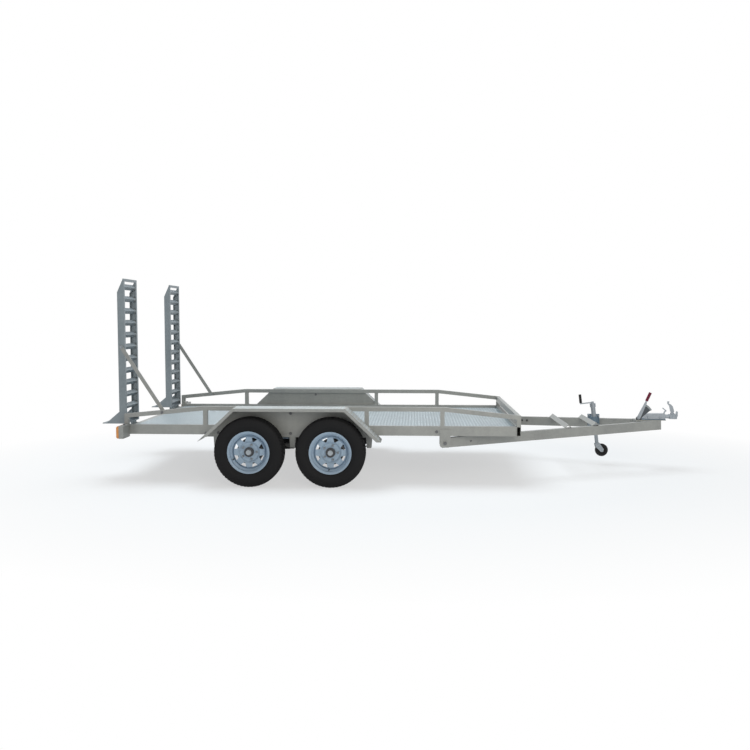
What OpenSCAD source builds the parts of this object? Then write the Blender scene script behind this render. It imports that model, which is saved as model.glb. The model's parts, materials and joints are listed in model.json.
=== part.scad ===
// Tandem-axle tilt trailer with ladder ramps. Millimetres, +X forward, +Y left, +Z up.
// The origin is on the ground, on the centreline, at the middle of the overall length.

/* [Deck] */
// Length of the deck frame
deck_l = 3750; // [3300:50:4200]
// Width over the side rails
deck_w = 1980; // [1800:20:2100]
// Height of the side rails' tops above the ground
deck_h = 552; // [530:1:580]
// Height of the side rails
rail_h = 90; // [80:1:100]
// Width of the side rails
rail_w = 50; // [40:1:60]
// Wall of the frame tubes
wall = 4; // [3:0.5:5]
// Depth of the floor plate below the tops of the side rails
deck_sink = 25; // [10:1:30]
// Thickness of the floor plate
deck_t = 3; // [2:0.5:6]
// Number of cross members under the floor
floor_n = 8; // [5:1:10]
// Length along the trailer of the front cross tube
front_tube_l = 40; // [30:1:50]

/* [Guard rails] */
// Side of the square guard rail tube
guard_s = 40; // [30:1:50]
// Wall of the guard rail tube
guard_wall = 3; // [2:0.5:4]
// Height of the level guard rail above the side rails
guard_up = 178; // [150:1:185]
// Height of the guard rail's ends above the side rails
guard_end_up = 103; // [90:1:140]
// Distance from the rear end to the second post
post_rear = 777; // [600:1:850]
// Spacing of the front posts
post_bay = 710; // [600:5:800]
// Height of the front rail
front_rail_h = 60; // [40:1:70]

/* [Wheels] */
// Distance from the rear end of the deck to the middle of the axle group
axle_back = 1608; // [1500:4:1900]
// Distance between the axles
axle_gap = 757; // [740:1:800]
// Tyre diameter
tyre_d = 650; // [600:1:680]
// Tyre width
tyre_w = 188; // [165:1:200]
// Gap between the side rail and the tyre
tyre_gap = 47; // [40:1:70]
// Diameter over the rim flanges
rim_d = 394; // [380:1:410]
// Width over the rim flanges
rim_w = 152; // [130:1:160]
// Thickness of the rim's steel
rim_t = 4; // [3:0.5:5]
// Number of hand holes in the rim
rim_holes = 8; // [5:1:10]
// Radius of the circle of hand holes
rim_hole_r = 122; // [116:1:126]
// Pitch circle of the wheel studs
stud_pcd = 139.7; // [120:0.1:145]

/* [Mudguards] */
// Height of the mudguards' tops above the side rails
mud_up = 183; // [176:1:208]
// Distance of the mudguards' feet below the side rails' tops
mud_low = 122; // [80:1:170]
// Half length of the mudguards' flat tops
mud_top_half = 520; // [480:5:600]
// Half length over the mudguards' feet
mud_foot_half = 846; // [800:1:880]
// Sheet thickness of the mudguards
mud_t = 3; // [2:0.5:4]
// Depth of the mudguards' outer lips
mud_lip = 28; // [20:1:40]
// Distance that the sheet runs on behind the lip at the rear
mud_tail = 60; // [40:5:110]

/* [Suspension] */
// Distance from the middle of the axle group to the end spring eyes
eye_x = 725; // [710:1:740]
// Distance from the middle of the axle group to the spring eyes on the equaliser
eye_mid_x = 62; // [50:1:70]
// Height of the end spring eyes above the ground
eye_h = 366; // [355:1:375]
// Thickness of one spring leaf
leaf_t = 7; // [5:0.5:8]
// Width of the spring leaves
leaf_w = 42; // [36:1:44]
// Number of leaves
leaf_n = 4; // [3:1:5]
// Side of the square axle beam
beam_s = 50; // [40:1:60]

/* [Ramps] */
// Length of each ramp
ramp_l = 1386; // [1200:2:1450]
// Width over the stiles of each ramp
ramp_w = 375; // [330:5:400]
// Depth of the stiles
stile_d = 65; // [60:1:75]
// Width of the stiles
stile_w = 32; // [25:1:40]
// Leg of the angle rungs
rung_leg = 40; // [30:1:45]
// Distance between the rungs
rung_pitch = 114.5; // [110:0.5:130]
// Height of the bevel at the toe
toe_h = 130; // [100:5:150]
// Reach of the foot behind the deck's rear end
foot_reach = 235; // [180:5:260]
// Distance from the ramp's outer face to the side rail's outer face
ramp_inset = 61; // [61:1:70]
// Distance of the ramp's hinge pin behind the deck's rear end
pin_back = 30; // [28:1:40]
// Distance of the ramp's hinge pin below the side rails' tops
pin_drop = 40; // [36:1:48]
// Diameter of the ramp's hinge pin
pin_d = 20; // [16:1:24]
// Width of the ramp stay
stay_w = 36; // [30:1:36]
// Thickness of the ramp stay
stay_t = 5; // [4:0.5:5]
// Height of the stay's pivot above the side rails
stay_up = 735; // [700:5:780]
// Horizontal reach of the stay
stay_reach = 400; // [350:2:402]
// Height of the stay's lower bolt above the side rails
stay_low = 118; // [116:1:130]

/* [Drawbar] */
// Distance from the deck's front end back to the tilt pin
tilt_back = 704; // [650:2:760]
// Distance of the tilt pin below the side rails
tilt_drop = 67; // [64:1:80]
// Diameter of the tilt pin
tilt_d = 24; // [20:1:28]
// Distance from the deck's front end to the drawbar's nose
arm_reach = 1555; // [1400:5:1700]
// Height of the drawbar arms
arm_h = 92; // [80:1:100]
// Width of the drawbar arms
arm_w = 50; // [40:1:60]
// Half width over the arms at the nose
nose_half = 72; // [70:1:90]
// Distance from the deck's front end to the first cross angle
angle_1 = 532; // [500:2:560]
// Distance from the deck's front end to the second cross angle
angle_2 = 826; // [800:2:850]
// Leg of the cross angles
angle_leg = 50; // [40:1:60]

/* [Jockey wheel] */
// Distance from the deck's front end to the jockey clamp
jockey_x = 924; // [916:1:960]
// Distance of the jockey mast from the centreline
jockey_y = 178; // [160:1:185]
// Lean of the mast to the rear
jockey_lean = 7; // [0:0.5:10]
// Diameter of the outer tube
mast_d = 48; // [42:1:60]
// Wall of the outer tube
mast_wall = 3; // [2:0.5:4]
// Diameter of the inner leg
leg_d = 38; // [30:1:40]
// Diameter of the jockey wheel
jockey_d = 134; // [126:1:140]
// Height of the jockey wheel's axle above the ground
jockey_axle_h = 156; // [150:1:165]
// Distance that the jockey wheel trails its leg
jockey_trail = 40; // [30:1:45]

/* [Coupling] */
// Length of the coupling housing
housing_l = 215; // [200:5:240]
// Height of the coupling housing
housing_h = 61; // [58:1:66]
// Width of the coupling housing
housing_w = 84; // [80:1:100]
// Diameter of the coupling's sliding shaft
shaft_d = 42; // [38:1:46]
// Diameter of the ball socket
socket_d = 50.8; // [50:0.1:51]
// Distance from the drawbar's nose to the coupling's tip
nose_out = 183; // [175:1:195]
// Length of the brake lever
lever_l = 285; // [250:5:320]
// Lean of the brake lever to the front
lever_lean = 24; // [15:1:35]

/* [Lights] */
// Reach of the light boxes outside the side rails
light_out = 180; // [120:5:220]
// Height of the light boxes
light_h = 118; // [100:1:130]
// Depth of the light boxes
light_d = 44; // [40:1:60]

/* [Hidden] */
$fn = 64;

// Overrun of cutting tools past a face
over = 1;
// Running clearance of a pin in its hole
run = 0.05;
// Gap between pieces that move past each other face to face
slip = 0.3;
galv = [0.66, 0.68, 0.68];

// The trailer's ends and the places along it
overall_l = foot_reach + deck_l + arm_reach + nose_out;
x_rear = -overall_l / 2 + foot_reach;
x_front = x_rear + deck_l;
x_axles = x_rear + axle_back;
y_rail = deck_w / 2;
z_rail = deck_h - rail_h;
z_floor = deck_h - deck_sink;
floor_h = rail_h - deck_sink - deck_t;

// Guard rail: level between the second post and the fourth, sloping down to both ends
x_post_2 = x_rear + post_rear - guard_s / 2;
x_post_5 = x_front - guard_s;
x_post_4 = x_post_5 - post_bay;
x_post_3 = x_post_4 - post_bay;
post_xs = [x_rear, x_post_2, x_post_3, x_post_4, x_post_5];
x_level_rear = x_post_2;
x_level_front = x_post_4 + guard_s;
function guard_top(x) =
    x < x_level_rear ?
        deck_h + guard_end_up + (guard_up - guard_end_up) * (x - x_rear) / (x_level_rear - x_rear)
    : x > x_level_front ?
        deck_h + guard_end_up + (guard_up - guard_end_up) * (x_front - x) / (x_front - x_level_front)
    : deck_h + guard_up;

// Mudguard: half length of its profile at a height, for a sheet inset square to the slope
mud_top = deck_h + mud_up;
mud_foot = deck_h - mud_low;
mud_slope = atan2(mud_top - mud_foot, mud_foot_half - mud_top_half);
function mud_half(z, inset) =
    mud_top_half + (mud_top - z) * (mud_foot_half - mud_top_half) / (mud_top - mud_foot)
    - inset / sin(mud_slope);
mud_w = tyre_gap + tyre_w;

// Wheels
y_wheel = y_rail + tyre_gap + tyre_w / 2;
z_axle = tyre_d / 2;
bead_r = rim_d / 2 - 17;
well_r = rim_d / 2 - 36;
disc_z = 14;
hub_r = 44;
cap_r = 23;
stub_r = 20;
drum_r = 118;
drum_back = -62;

// Springs: each leaf is an arc through its eyes, with its middle under a pad below the axle beam
pad_t = 6;
pad_half = 40;
spring_half = (eye_x - eye_mid_x) / 2;
spring_x = (eye_x + eye_mid_x) / 2;
spring_sag = eye_h - (z_axle - beam_s / 2) + leaf_t + pad_t;
spring_r = (spring_half * spring_half + spring_sag * spring_sag) / (2 * spring_sag);
leaf_step = 0.17;
eye_r = 15;
eye_hole = 6;
cheek_t = 4;
eq_t = 4;
eq_wide = leaf_w + 2 * eq_t + 2;
y_spring = y_rail - eq_wide / 2 - cheek_t - 1;

// Ramps
x_pin = x_rear - pin_back;
z_pin = deck_h - pin_drop;
x_ramp = x_rear - 5;
z_ramp = deck_h;
foot_t = 8;
y_ramp_out = y_rail - ramp_inset;
rung_n = floor((ramp_l - 110) / rung_pitch) + 1;
rung_out = rung_leg / sqrt(2);
sleeve_r = 17;
lug_t = 12;
stay_pivot_d = 14;
x_stay = x_ramp - stile_d / 2;
z_stay = deck_h + stay_up;
stay_gap = 1;
stay_angle = atan2(stay_reach, stay_up - stay_low);
stay_l = sqrt(stay_reach * stay_reach + (stay_up - stay_low) * (stay_up - stay_low));

// Drawbar: its arms rise to meet the underside of the front cross tube
x_tilt = x_front - tilt_back;
z_tilt = z_rail - tilt_drop;
rest_gap = slip;
arm_rise = asin((z_rail - rest_gap - z_tilt) / sqrt(pow(tilt_back, 2) + pow(z_rail - rest_gap - z_tilt, 2)))
    - asin((arm_h / 2) / sqrt(pow(tilt_back, 2) + pow(z_rail - rest_gap - z_tilt, 2)));
x_nose = x_front + arm_reach;
tilt_run = tilt_back + arm_reach;
bracket_t = 8;
y_arm_rear = y_rail - 17;
toe_in = atan2(y_arm_rear - nose_half, tilt_run);
arm_tail = 30;
arm_wide = arm_w / cos(toe_in);
function arm_outer(x) = nose_half + (x_nose - x) * tan(toe_in);
function arm_inner(x) = arm_outer(x) - arm_wide;
function arm_top(x) = z_tilt + arm_h / 2 / cos(arm_rise) + (x - x_tilt) * tan(arm_rise);
plate_t = 6;
z_plate = arm_top(x_nose);
bracket_half = 50;
ear_r = 25;
ear_drop = 17;
y_bracket = arm_inner(x_tilt + bracket_half) - 1 - bracket_t;

// Jockey wheel
x_jockey = x_front + jockey_x;
z_clamp = arm_top(x_jockey);
clamp_h = 60;
clamp_back = 48;
clamp_front = 68;
clamp_plate_t = 10;
clamp_up = 48;
mast_up = 132;
mast_down = 75;
crank_r = 123;
fork_gap = 46;
fork_t = 5;
mast_to_axle = (z_clamp - jockey_axle_h) / cos(jockey_lean);
leg_end = -mast_to_axle + jockey_d / 2 + 14;

// Coupling
house_over = 50;
x_house = x_nose + house_over - housing_l;
z_house = z_plate + plate_t;
z_shaft = z_house + housing_h / 2;
x_tip = x_nose + nose_out;
x_ball = x_tip - 40;
x_lever = x_house - 65;
lever_boss = 18;
lever_t = 8;
grip_l = 95;
pivot_r = 8;
z_lever = z_house + lever_boss + 5;
y_lever = 64;
x_latch = x_ball - 13;
z_latch = z_shaft + 35;
latch_pin_r = 4;

module on_side(left) {
    mirror([0, left ? 1 : 0, 0]) children();
}
module both() {
    children();
    mirror([0, 1, 0]) children();
}
// Turns a profile drawn in X and Z into a plate between two distances from the centreline, on the right
module slab(y_in, y_out) {
    translate([0, -y_in, 0]) rotate([90, 0, 0]) linear_extrude(y_out - y_in) children();
}
// A tube along X with open ends, its lower right corner at the origin
module tube_x(l, w, h, t) {
    difference() {
        cube([l, w, h]);
        translate([-over, t, t]) cube([l + 2 * over, w - 2 * t, h - 2 * t]);
    }
}
// A tube along Y with open ends, centred on the centreline
module tube_y(l, w, h, t) {
    translate([0, -w / 2, 0]) difference() {
        cube([l, w, h]);
        translate([t, -over, t]) cube([l - 2 * t, w + 2 * over, h - 2 * t]);
    }
}
// A bar along Y from one distance to another, on the right
module rod(r, y_in, y_out) {
    translate([0, -y_in, 0]) rotate([90, 0, 0]) cylinder(r = r, h = y_out - y_in);
}

module side_rail() {
    color(galv) translate([x_rear, -y_rail, z_rail]) tube_x(deck_l - front_tube_l, rail_w, rail_h, wall);
}
module front_cross_tube() {
    color(galv) translate([x_front - front_tube_l, 0, z_rail]) tube_y(front_tube_l, deck_w, rail_h, wall);
}
module rear_cross_tube() {
    color(galv) translate([x_rear, 0, z_rail]) tube_y(rail_w, deck_w - 2 * rail_w, rail_h - deck_sink, wall);
}
module floor_cross_members() {
    first = x_rear + rail_w;
    last = x_front - front_tube_l;
    step = (last - first) / (floor_n + 1);
    color(galv) for (i = [1 : floor_n])
        translate([first + i * step - 20, 0, z_rail]) tube_y(40, deck_w - 2 * rail_w, floor_h, wall);
}
module deck_plate() {
    color([0.8, 0.82, 0.82]) translate([x_rear + rail_w, -y_rail + rail_w, z_floor - deck_t])
        cube([deck_l - rail_w - front_tube_l, deck_w - 2 * rail_w, deck_t]);
}
// The guard rail's side profile, shrunk by an inset all round
module guard_profile(inset) {
    xs = [x_rear + inset, x_level_rear, x_level_front, x_front - inset];
    polygon([
        for (x = xs) [x, guard_top(x) - inset],
        for (i = [3 : -1 : 0]) [xs[i], guard_top(xs[i]) - guard_s + inset]
    ]);
}
module guard_rail() {
    color(galv) difference() {
        slab(y_rail - guard_s, y_rail) guard_profile(0);
        slab(y_rail - guard_s + guard_wall, y_rail - guard_wall) guard_profile(guard_wall);
    }
}
module guard_post(x) {
    difference() {
        slab(y_rail - guard_s, y_rail) polygon([
            [x, deck_h], [x + guard_s, deck_h],
            [x + guard_s, guard_top(x + guard_s) - guard_s], [x, guard_top(x) - guard_s]
        ]);
        translate([x + guard_wall, -y_rail + guard_wall, deck_h - over])
            cube([guard_s - 2 * guard_wall, guard_s - 2 * guard_wall, guard_end_up - guard_s - guard_wall]);
    }
}
module guard_posts() {
    color(galv) both() for (x = post_xs) guard_post(x);
}
module front_rail() {
    top = guard_top(x_front);
    color(galv) translate([x_front - guard_s, 0, top - front_rail_h])
        tube_y(guard_s, deck_w - 2 * guard_s, front_rail_h, guard_wall);
}
module mud_profile(inset, low) {
    polygon([
        [x_axles - mud_half(low, inset), low], [x_axles - mud_half(mud_top - inset, inset), mud_top - inset],
        [x_axles + mud_half(mud_top - inset, inset), mud_top - inset], [x_axles + mud_half(low, inset), low]
    ]);
}
module mudguard() {
    under = mud_top - mud_t;
    bite = 1;
    color(galv) {
        slab(y_rail, y_rail + mud_w) translate([x_axles, 0]) polygon([
            [-mud_half(mud_foot, 0), mud_foot], [-mud_half(mud_top, 0), mud_top],
            [mud_half(mud_top, 0), mud_top], [mud_half(mud_foot, 0), mud_foot],
            [mud_half(mud_foot, mud_t), mud_foot], [mud_half(under, mud_t), under],
            [-mud_half(under, mud_t), under], [-mud_half(mud_foot, mud_t), mud_foot]
        ]);
        slab(y_rail + mud_w - mud_t, y_rail + mud_w) difference() {
            mud_profile(bite, mud_foot + bite);
            mud_profile(mud_lip, mud_foot - over);
            translate([x_axles - mud_foot_half, mud_foot]) square([mud_foot_half, mud_tail * sin(mud_slope)]);
        }
    }
}
module mudguard_skirts() {
    low = z_rail - 20;
    color(galv) both() slab(y_rail, y_rail + mud_t) mud_profile(mud_t, low);
}
module hanger(x, low, wide) {
    translate([x, 0, 0]) difference() {
        slab(y_spring - wide / 2 - cheek_t, y_spring + wide / 2 + cheek_t)
            polygon([[-30, z_rail], [30, z_rail], [22, low], [-22, low]]);
        slab(y_spring - wide / 2, y_spring + wide / 2)
            polygon([[-40, z_rail - 8], [40, z_rail - 8], [40, low - over], [-40, low - over]]);
    }
    translate([x, 0, eye_h]) rod(eye_hole - run, y_spring - wide / 2 - 12, y_spring + wide / 2 + 12);
}
module spring_hangers() {
    color(galv) both() {
        hanger(x_axles - eye_x, eye_h - 24, leaf_w + 2 * slip);
        hanger(x_axles, eye_h - 24, eq_wide + 2 * slip);
        hanger(x_axles + eye_x, eye_h - 24, leaf_w + 2 * slip);
    }
}
// One leaf as an arc in X and Z whose lowest point is at the origin
module leaf(half, r) {
    sweep = asin(half / spring_r);
    translate([0, spring_r]) intersection() {
        difference() {
            circle(r = r, $fn = 128);
            circle(r = r - leaf_t, $fn = 128);
        }
        polygon([
            [0, 0], [-2 * r * sin(sweep), -2 * r * cos(sweep)], [0, -2 * r],
            [2 * r * sin(sweep), -2 * r * cos(sweep)]
        ]);
    }
}
module leaf_spring(x) {
    z_low = z_axle - beam_s / 2 - pad_t - leaf_t;
    half_w = leaf_w / 2;
    translate([x, 0, 0]) difference() {
        union() {
            slab(y_spring - half_w, y_spring + half_w) translate([0, z_low])
                for (i = [0 : leaf_n - 1]) leaf(spring_half * (1 - i * leaf_step), spring_r + i * leaf_t);
            slab(y_spring - half_w, y_spring + half_w) translate([-pad_half, z_low + leaf_t / 2])
                square([2 * pad_half, leaf_t / 2 + pad_t]);
            for (s = [-1, 1]) translate([s * spring_half, 0, eye_h])
                rod(eye_r, y_spring - half_w, y_spring + half_w);
        }
        for (s = [-1, 1]) translate([s * spring_half, 0, eye_h])
            rod(eye_hole, y_spring - half_w - over, y_spring + half_w + over);
    }
}
module leaf_springs() {
    color([0.12, 0.12, 0.13]) both() {
        leaf_spring(x_axles - spring_x);
        leaf_spring(x_axles + spring_x);
    }
}
module equalisers() {
    color([0.12, 0.12, 0.13]) both() translate([x_axles, 0, eye_h]) difference() {
        union() {
            for (side = [-1, 1]) translate([0, side * (eq_wide - eq_t) / 2, 0])
                slab(y_spring - eq_t / 2, y_spring + eq_t / 2) {
                    polygon([
                        [-eye_mid_x, 12], [eye_mid_x, 12], [eye_mid_x + 9, -8], [10, -34], [-10, -34],
                        [-eye_mid_x - 9, -8]
                    ]);
                    for (end = [-1, 1]) translate([end * eye_mid_x, 0]) circle(r = 12);
                }
            for (end = [-1, 1]) translate([end * eye_mid_x, 0, 0])
                rod(eye_hole - run, y_spring - eq_wide / 2 - 4, y_spring + eq_wide / 2 + 4);
        }
        rod(eye_hole, y_spring - eq_wide, y_spring + eq_wide);
    }
}
module axle(x) {
    inner = y_wheel + drum_back - 4;
    translate([x, 0, z_axle]) {
        difference() {
            translate([-beam_s / 2, -inner, -beam_s / 2]) cube([beam_s, 2 * inner, beam_s]);
            translate([-beam_s / 2 + wall, -inner + 12, -beam_s / 2 + wall])
                cube([beam_s - 2 * wall, 2 * inner - 24, beam_s - 2 * wall]);
        }
        both() {
            rod(drum_r + 3, inner - 5, inner);
            rod(stub_r, inner, y_wheel + 30);
        }
    }
}
module axles() {
    color([0.45, 0.46, 0.47]) {
        axle(x_axles - axle_gap / 2);
        axle(x_axles + axle_gap / 2);
    }
}
// Places a wheel piece, drawn about Z with its outside upward, on its axle
module at_wheel(front, left) {
    on_side(left) translate([x_axles + (front ? 1 : -1) * axle_gap / 2, -y_wheel, z_axle])
        rotate([90, 0, 0]) children();
}
module tyre() {
    r = tyre_d / 2;
    h = tyre_w / 2;
    seat = bead_r + slip;
    lip = rim_w / 2 - 12;
    color([0.08, 0.08, 0.08]) rotate_extrude($fn = 128) polygon([
        [seat, -lip], [seat, -lip + 22], [seat + 12, -lip + 24], [seat + 40, -h + 12], [r - 45, -h + 14],
        [r - 22, -h + 30], [r - 16, 0], [r - 22, h - 30], [r - 45, h - 14], [seat + 40, h - 12],
        [seat + 12, lip - 24], [seat, lip - 22], [seat, lip], [rim_d / 2 + 6, lip + 8],
        [r - 85, h - 1], [r - 68, h], [r - 50, h - 1], [r - 18, h - 13], [r - 6, h - 24], [r, h - 42],
        [r, -h + 42], [r - 6, -h + 24], [r - 18, -h + 13], [r - 50, -h + 1], [r - 68, -h],
        [r - 85, -h + 1], [rim_d / 2 + 6, -lip - 8]
    ]);
}
module rim_profile() {
    w = rim_w / 2;
    f = rim_d / 2;
    t = rim_t;
    polygon([
        [f, -w], [f, -w + 3], [f - 5, -w + 5], [bead_r, -w + 9], [bead_r, -w + 38], [well_r, -w + 50],
        [well_r, w - 54], [bead_r, w - 38], [bead_r, w - 9], [f - 5, w - 5], [f, w - 3], [f, w],
        [f - 8, w], [bead_r - t, w - 8], [bead_r - t, w - 37], [well_r - t, w - 52], [well_r - t, -w + 48],
        [bead_r - t, -w + 37], [bead_r - t, -w + 8], [f - 8, -w]
    ]);
    polygon([
        [well_r - t, disc_z], [well_r - t - 10, disc_z + 16], [140, disc_z + 26], [104, disc_z + 28],
        [92, disc_z + 20], [86, disc_z + 12], [hub_r + 1, disc_z + 12], [hub_r + 1, disc_z + 6],
        [88, disc_z + 6], [96, disc_z + 14], [106, disc_z + 22], [138, disc_z + 20],
        [well_r - t - 16, disc_z + 12], [well_r - t - 5, disc_z - 2], [well_r - t, disc_z - 2]
    ]);
}
module rim() {
    color([0.72, 0.76, 0.8]) difference() {
        rotate_extrude($fn = 96) rim_profile();
        for (i = [0 : rim_holes - 1]) rotate((i + 0.5) * 360 / rim_holes) translate([rim_hole_r, 0, 0])
            linear_extrude(60) polygon([[-18, 6], [-18, -6], [13, -26], [18, -22], [18, 22], [13, 26]]);
        for (i = [0 : 4]) rotate(i * 72) translate([stud_pcd / 2, 0, 0]) cylinder(r = 7, h = 60, $fn = 24);
    }
}
module hub() {
    face = disc_z + 6;
    color([0.25, 0.26, 0.27]) difference() {
        union() {
            translate([0, 0, drum_back]) difference() {
                cylinder(r = drum_r, h = face - drum_back - 10, $fn = 96);
                translate([0, 0, -over]) cylinder(r = drum_r - 8, h = face - drum_back - 30, $fn = 96);
            }
            cylinder(r = 88, h = face);
            translate([0, 0, drum_back + 2]) cylinder(r = 34, h = face - drum_back);
            cylinder(r = hub_r, h = disc_z + 34);
            cylinder(r = cap_r, h = disc_z + 58);
            for (i = [0 : 4]) rotate(i * 72) translate([stud_pcd / 2, 0, 0])
                cylinder(r = 6.5, h = disc_z + 32, $fn = 24);
        }
        translate([0, 0, drum_back]) cylinder(r = stub_r + run, h = -drum_back + 31);
    }
}

// Places a piece drawn along a drawbar arm, with X from the tilt pin and Z from the arm's middle
module at_arm() {
    translate([x_tilt, 0, z_tilt]) rotate([0, -arm_rise, 0]) children();
}
// The two drawbar arms toe in from the tilt pin to the nose
module drawbar_arm() {
    color(galv) difference() {
        at_arm() translate([-arm_tail, 0, -arm_h / 2])
            difference() {
                linear_extrude(arm_h) polygon([
                    [0, -arm_outer(x_tilt - arm_tail)], [tilt_run + arm_tail, -nose_half],
                    [tilt_run + arm_tail, -nose_half + arm_wide],
                    [0, -arm_outer(x_tilt - arm_tail) + arm_wide]
                ]);
                translate([0, 0, wall]) linear_extrude(arm_h - 2 * wall) polygon([
                    [-over, -arm_outer(x_tilt - arm_tail - over) + wall],
                    [tilt_run + arm_tail - wall, -nose_half - wall * tan(toe_in) + wall],
                    [tilt_run + arm_tail - wall, -nose_half - wall * tan(toe_in) + arm_wide - wall],
                    [-over, -arm_outer(x_tilt - arm_tail - over) + arm_wide - wall]
                ]);
            }
        translate([x_tilt, 0, z_tilt]) rod(tilt_d / 2 + run, y_bracket, y_rail + over);
    }
}
module nose_plate() {
    back = x_lever - 30;
    color(galv) slab(-nose_half + 6, nose_half - 6) polygon([
        [back, arm_top(back)], [x_nose, z_plate], [x_nose + house_over, z_plate],
        [x_nose + house_over, z_house], [back, z_house]
    ]);
}
// An angle iron across both arms, apex up
module cross_angle(x) {
    half = arm_outer(x) - 4;
    t = 5;
    low = arm_top(x + rung_leg);
    a = angle_leg / sqrt(2);
    translate([x, 0, low]) slab(-half, half) polygon([
        [-a, 0], [0, a], [a, 0], [a - t * sqrt(2), 0], [0, a - t * sqrt(2)], [-a + t * sqrt(2), 0]
    ]);
}
module drawbar_cross_angles() {
    color(galv) {
        cross_angle(x_front + angle_1);
        cross_angle(x_front + angle_2);
    }
}
module tilt_hinge_brackets() {
    cap_t = 10;
    color(galv) both() {
        for (y = [y_bracket, y_rail]) slab(y, y + bracket_t) {
            translate([x_tilt - bracket_half, z_tilt - ear_drop])
                square([2 * bracket_half, z_floor - deck_t - z_tilt + ear_drop]);
            translate([x_tilt - bracket_half + ear_r, z_tilt - ear_drop - ear_r])
                square([2 * (bracket_half - ear_r), ear_r + over]);
            for (s = [-1, 1]) translate([x_tilt + s * (bracket_half - ear_r), z_tilt - ear_drop])
                circle(r = ear_r);
        }
        translate([x_tilt, 0, z_tilt]) rod(tilt_d / 2, y_bracket, y_rail + bracket_t);
        translate([x_tilt, 0, z_tilt]) rod(tilt_d / 2 + 6, y_rail + bracket_t, y_rail + bracket_t + cap_t);
    }
}

// Ramp, drawn standing: stiles, angle rungs with their apex forward, a bevelled toe and a foot
module stile(y) {
    top = z_ramp + ramp_l;
    difference() {
        slab(y, y + stile_w) polygon([
            [x_ramp - stile_d, z_ramp + foot_t], [x_ramp, z_ramp + foot_t], [x_ramp, top],
            [x_ramp - 6, top], [x_ramp - stile_d, top - toe_h]
        ]);
        inner = y > (y_ramp_out - ramp_w / 2) ? y - over : y + wall;
        slab(inner, inner + stile_w - wall + over) polygon([
            [x_ramp - stile_d + wall, z_ramp + foot_t + wall], [x_ramp - wall, z_ramp + foot_t + wall],
            [x_ramp - wall, top - toe_h / 2], [x_ramp - stile_d + wall, top - toe_h - wall]
        ]);
    }
}
module rung(z) {
    t = 4 * sqrt(2);
    translate([x_ramp, 0, z]) slab(y_ramp_out - ramp_w + wall, y_ramp_out - wall) polygon([
        [0, 0], [-rung_out, rung_out], [-rung_out - t / 2, rung_out - t / 2], [-t, 0],
        [-rung_out - t / 2, -rung_out + t / 2], [-rung_out, -rung_out]
    ]);
}
module ramp() {
    top = z_ramp + ramp_l;
    y_in = y_ramp_out - ramp_w;
    difference() {
        union() {
            stile(y_ramp_out - stile_w);
            stile(y_in);
            for (i = [0 : rung_n - 1]) rung(z_ramp + 50 + i * rung_pitch);
            slab(y_in + wall, y_ramp_out - wall) translate([x_ramp - 12, top - 26]) square([12, 26]);
            slab(y_in, y_ramp_out) polygon([
                [x_rear - foot_reach, z_ramp], [x_ramp, z_ramp], [x_ramp, z_ramp + foot_t],
                [x_rear - foot_reach, z_ramp + foot_t]
            ]);
            for (y = [y_in, y_ramp_out - 8]) slab(y, y + 8) polygon([
                [x_rear - foot_reach + 40, z_ramp + foot_t], [x_ramp - stile_d, z_ramp + foot_t],
                [x_ramp - stile_d, z_ramp + 115]
            ]);
            for (y = [y_in + 60, y_ramp_out - 130]) slab(y, y + 70) union() {
                translate([x_pin, z_pin]) circle(r = sleeve_r);
                translate([x_pin - sleeve_r, z_pin]) square([2 * sleeve_r, z_ramp - z_pin]);
            }
            translate([x_stay, 0, z_stay])
                rod(stay_pivot_d / 2, y_ramp_out - stile_w, y_ramp_out + stay_gap + stay_t);
        }
        translate([x_pin, 0, z_pin]) rod(pin_d / 2 + run, y_in, y_ramp_out);
    }
}
module ramp_hinge_lugs() {
    y_in = y_ramp_out - ramp_w;
    color(galv) both() {
        for (y = [y_in + 40, y_ramp_out - 40 - lug_t]) slab(y, y + lug_t) {
            translate([x_pin, z_pin]) circle(r = sleeve_r);
            translate([x_pin, z_pin - sleeve_r]) square([x_rear - x_pin, 2 * sleeve_r]);
        }
        translate([x_pin, 0, z_pin]) rod(pin_d / 2, y_in + 30, y_ramp_out - 30);
    }
}
module ramp_stay() {
    y = y_ramp_out + stay_gap;
    difference() {
        slab(y, y + stay_t) translate([x_stay, z_stay]) rotate(stay_angle - 90) union() {
            translate([0, -stay_w / 2]) square([stay_l, stay_w]);
            circle(r = stay_w / 2);
            translate([stay_l, 0]) circle(r = stay_w / 2);
        }
        translate([x_stay, 0, z_stay]) rod(stay_pivot_d / 2 + run, y - over, y + stay_t + over);
        translate([x_stay + stay_reach, 0, deck_h + stay_low]) rod(7, y - over, y + stay_t + over);
    }
}

module light_boxes() {
    z = z_rail - 22;
    color(galv) both() translate([x_rear + 6, 0, 0]) difference() {
        slab(y_rail, y_rail + light_out) translate([0, z]) square([light_d, light_h]);
        slab(y_rail + wall, y_rail + light_out - wall) translate([-over, z + wall])
            square([light_d - wall + over, light_h - 2 * wall]);
    }
}
module light_lenses() {
    z = z_rail - 22;
    color([0.9, 0.45, 0.1]) both() slab(y_rail + 2, y_rail + light_out - 2) polygon([
        [x_rear + 6, z + 2], [x_rear + 6, z + light_h - 2], [x_rear - 8, z + light_h - 2],
        [x_rear - 18, z + light_h - 14], [x_rear - 18, z + 14], [x_rear - 8, z + 2]
    ]);
}

// Places a piece drawn along Z on the jockey wheel's leaning mast
module at_mast() {
    translate([x_jockey, jockey_y, z_clamp]) rotate([0, -jockey_lean, 0]) children();
}
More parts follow.
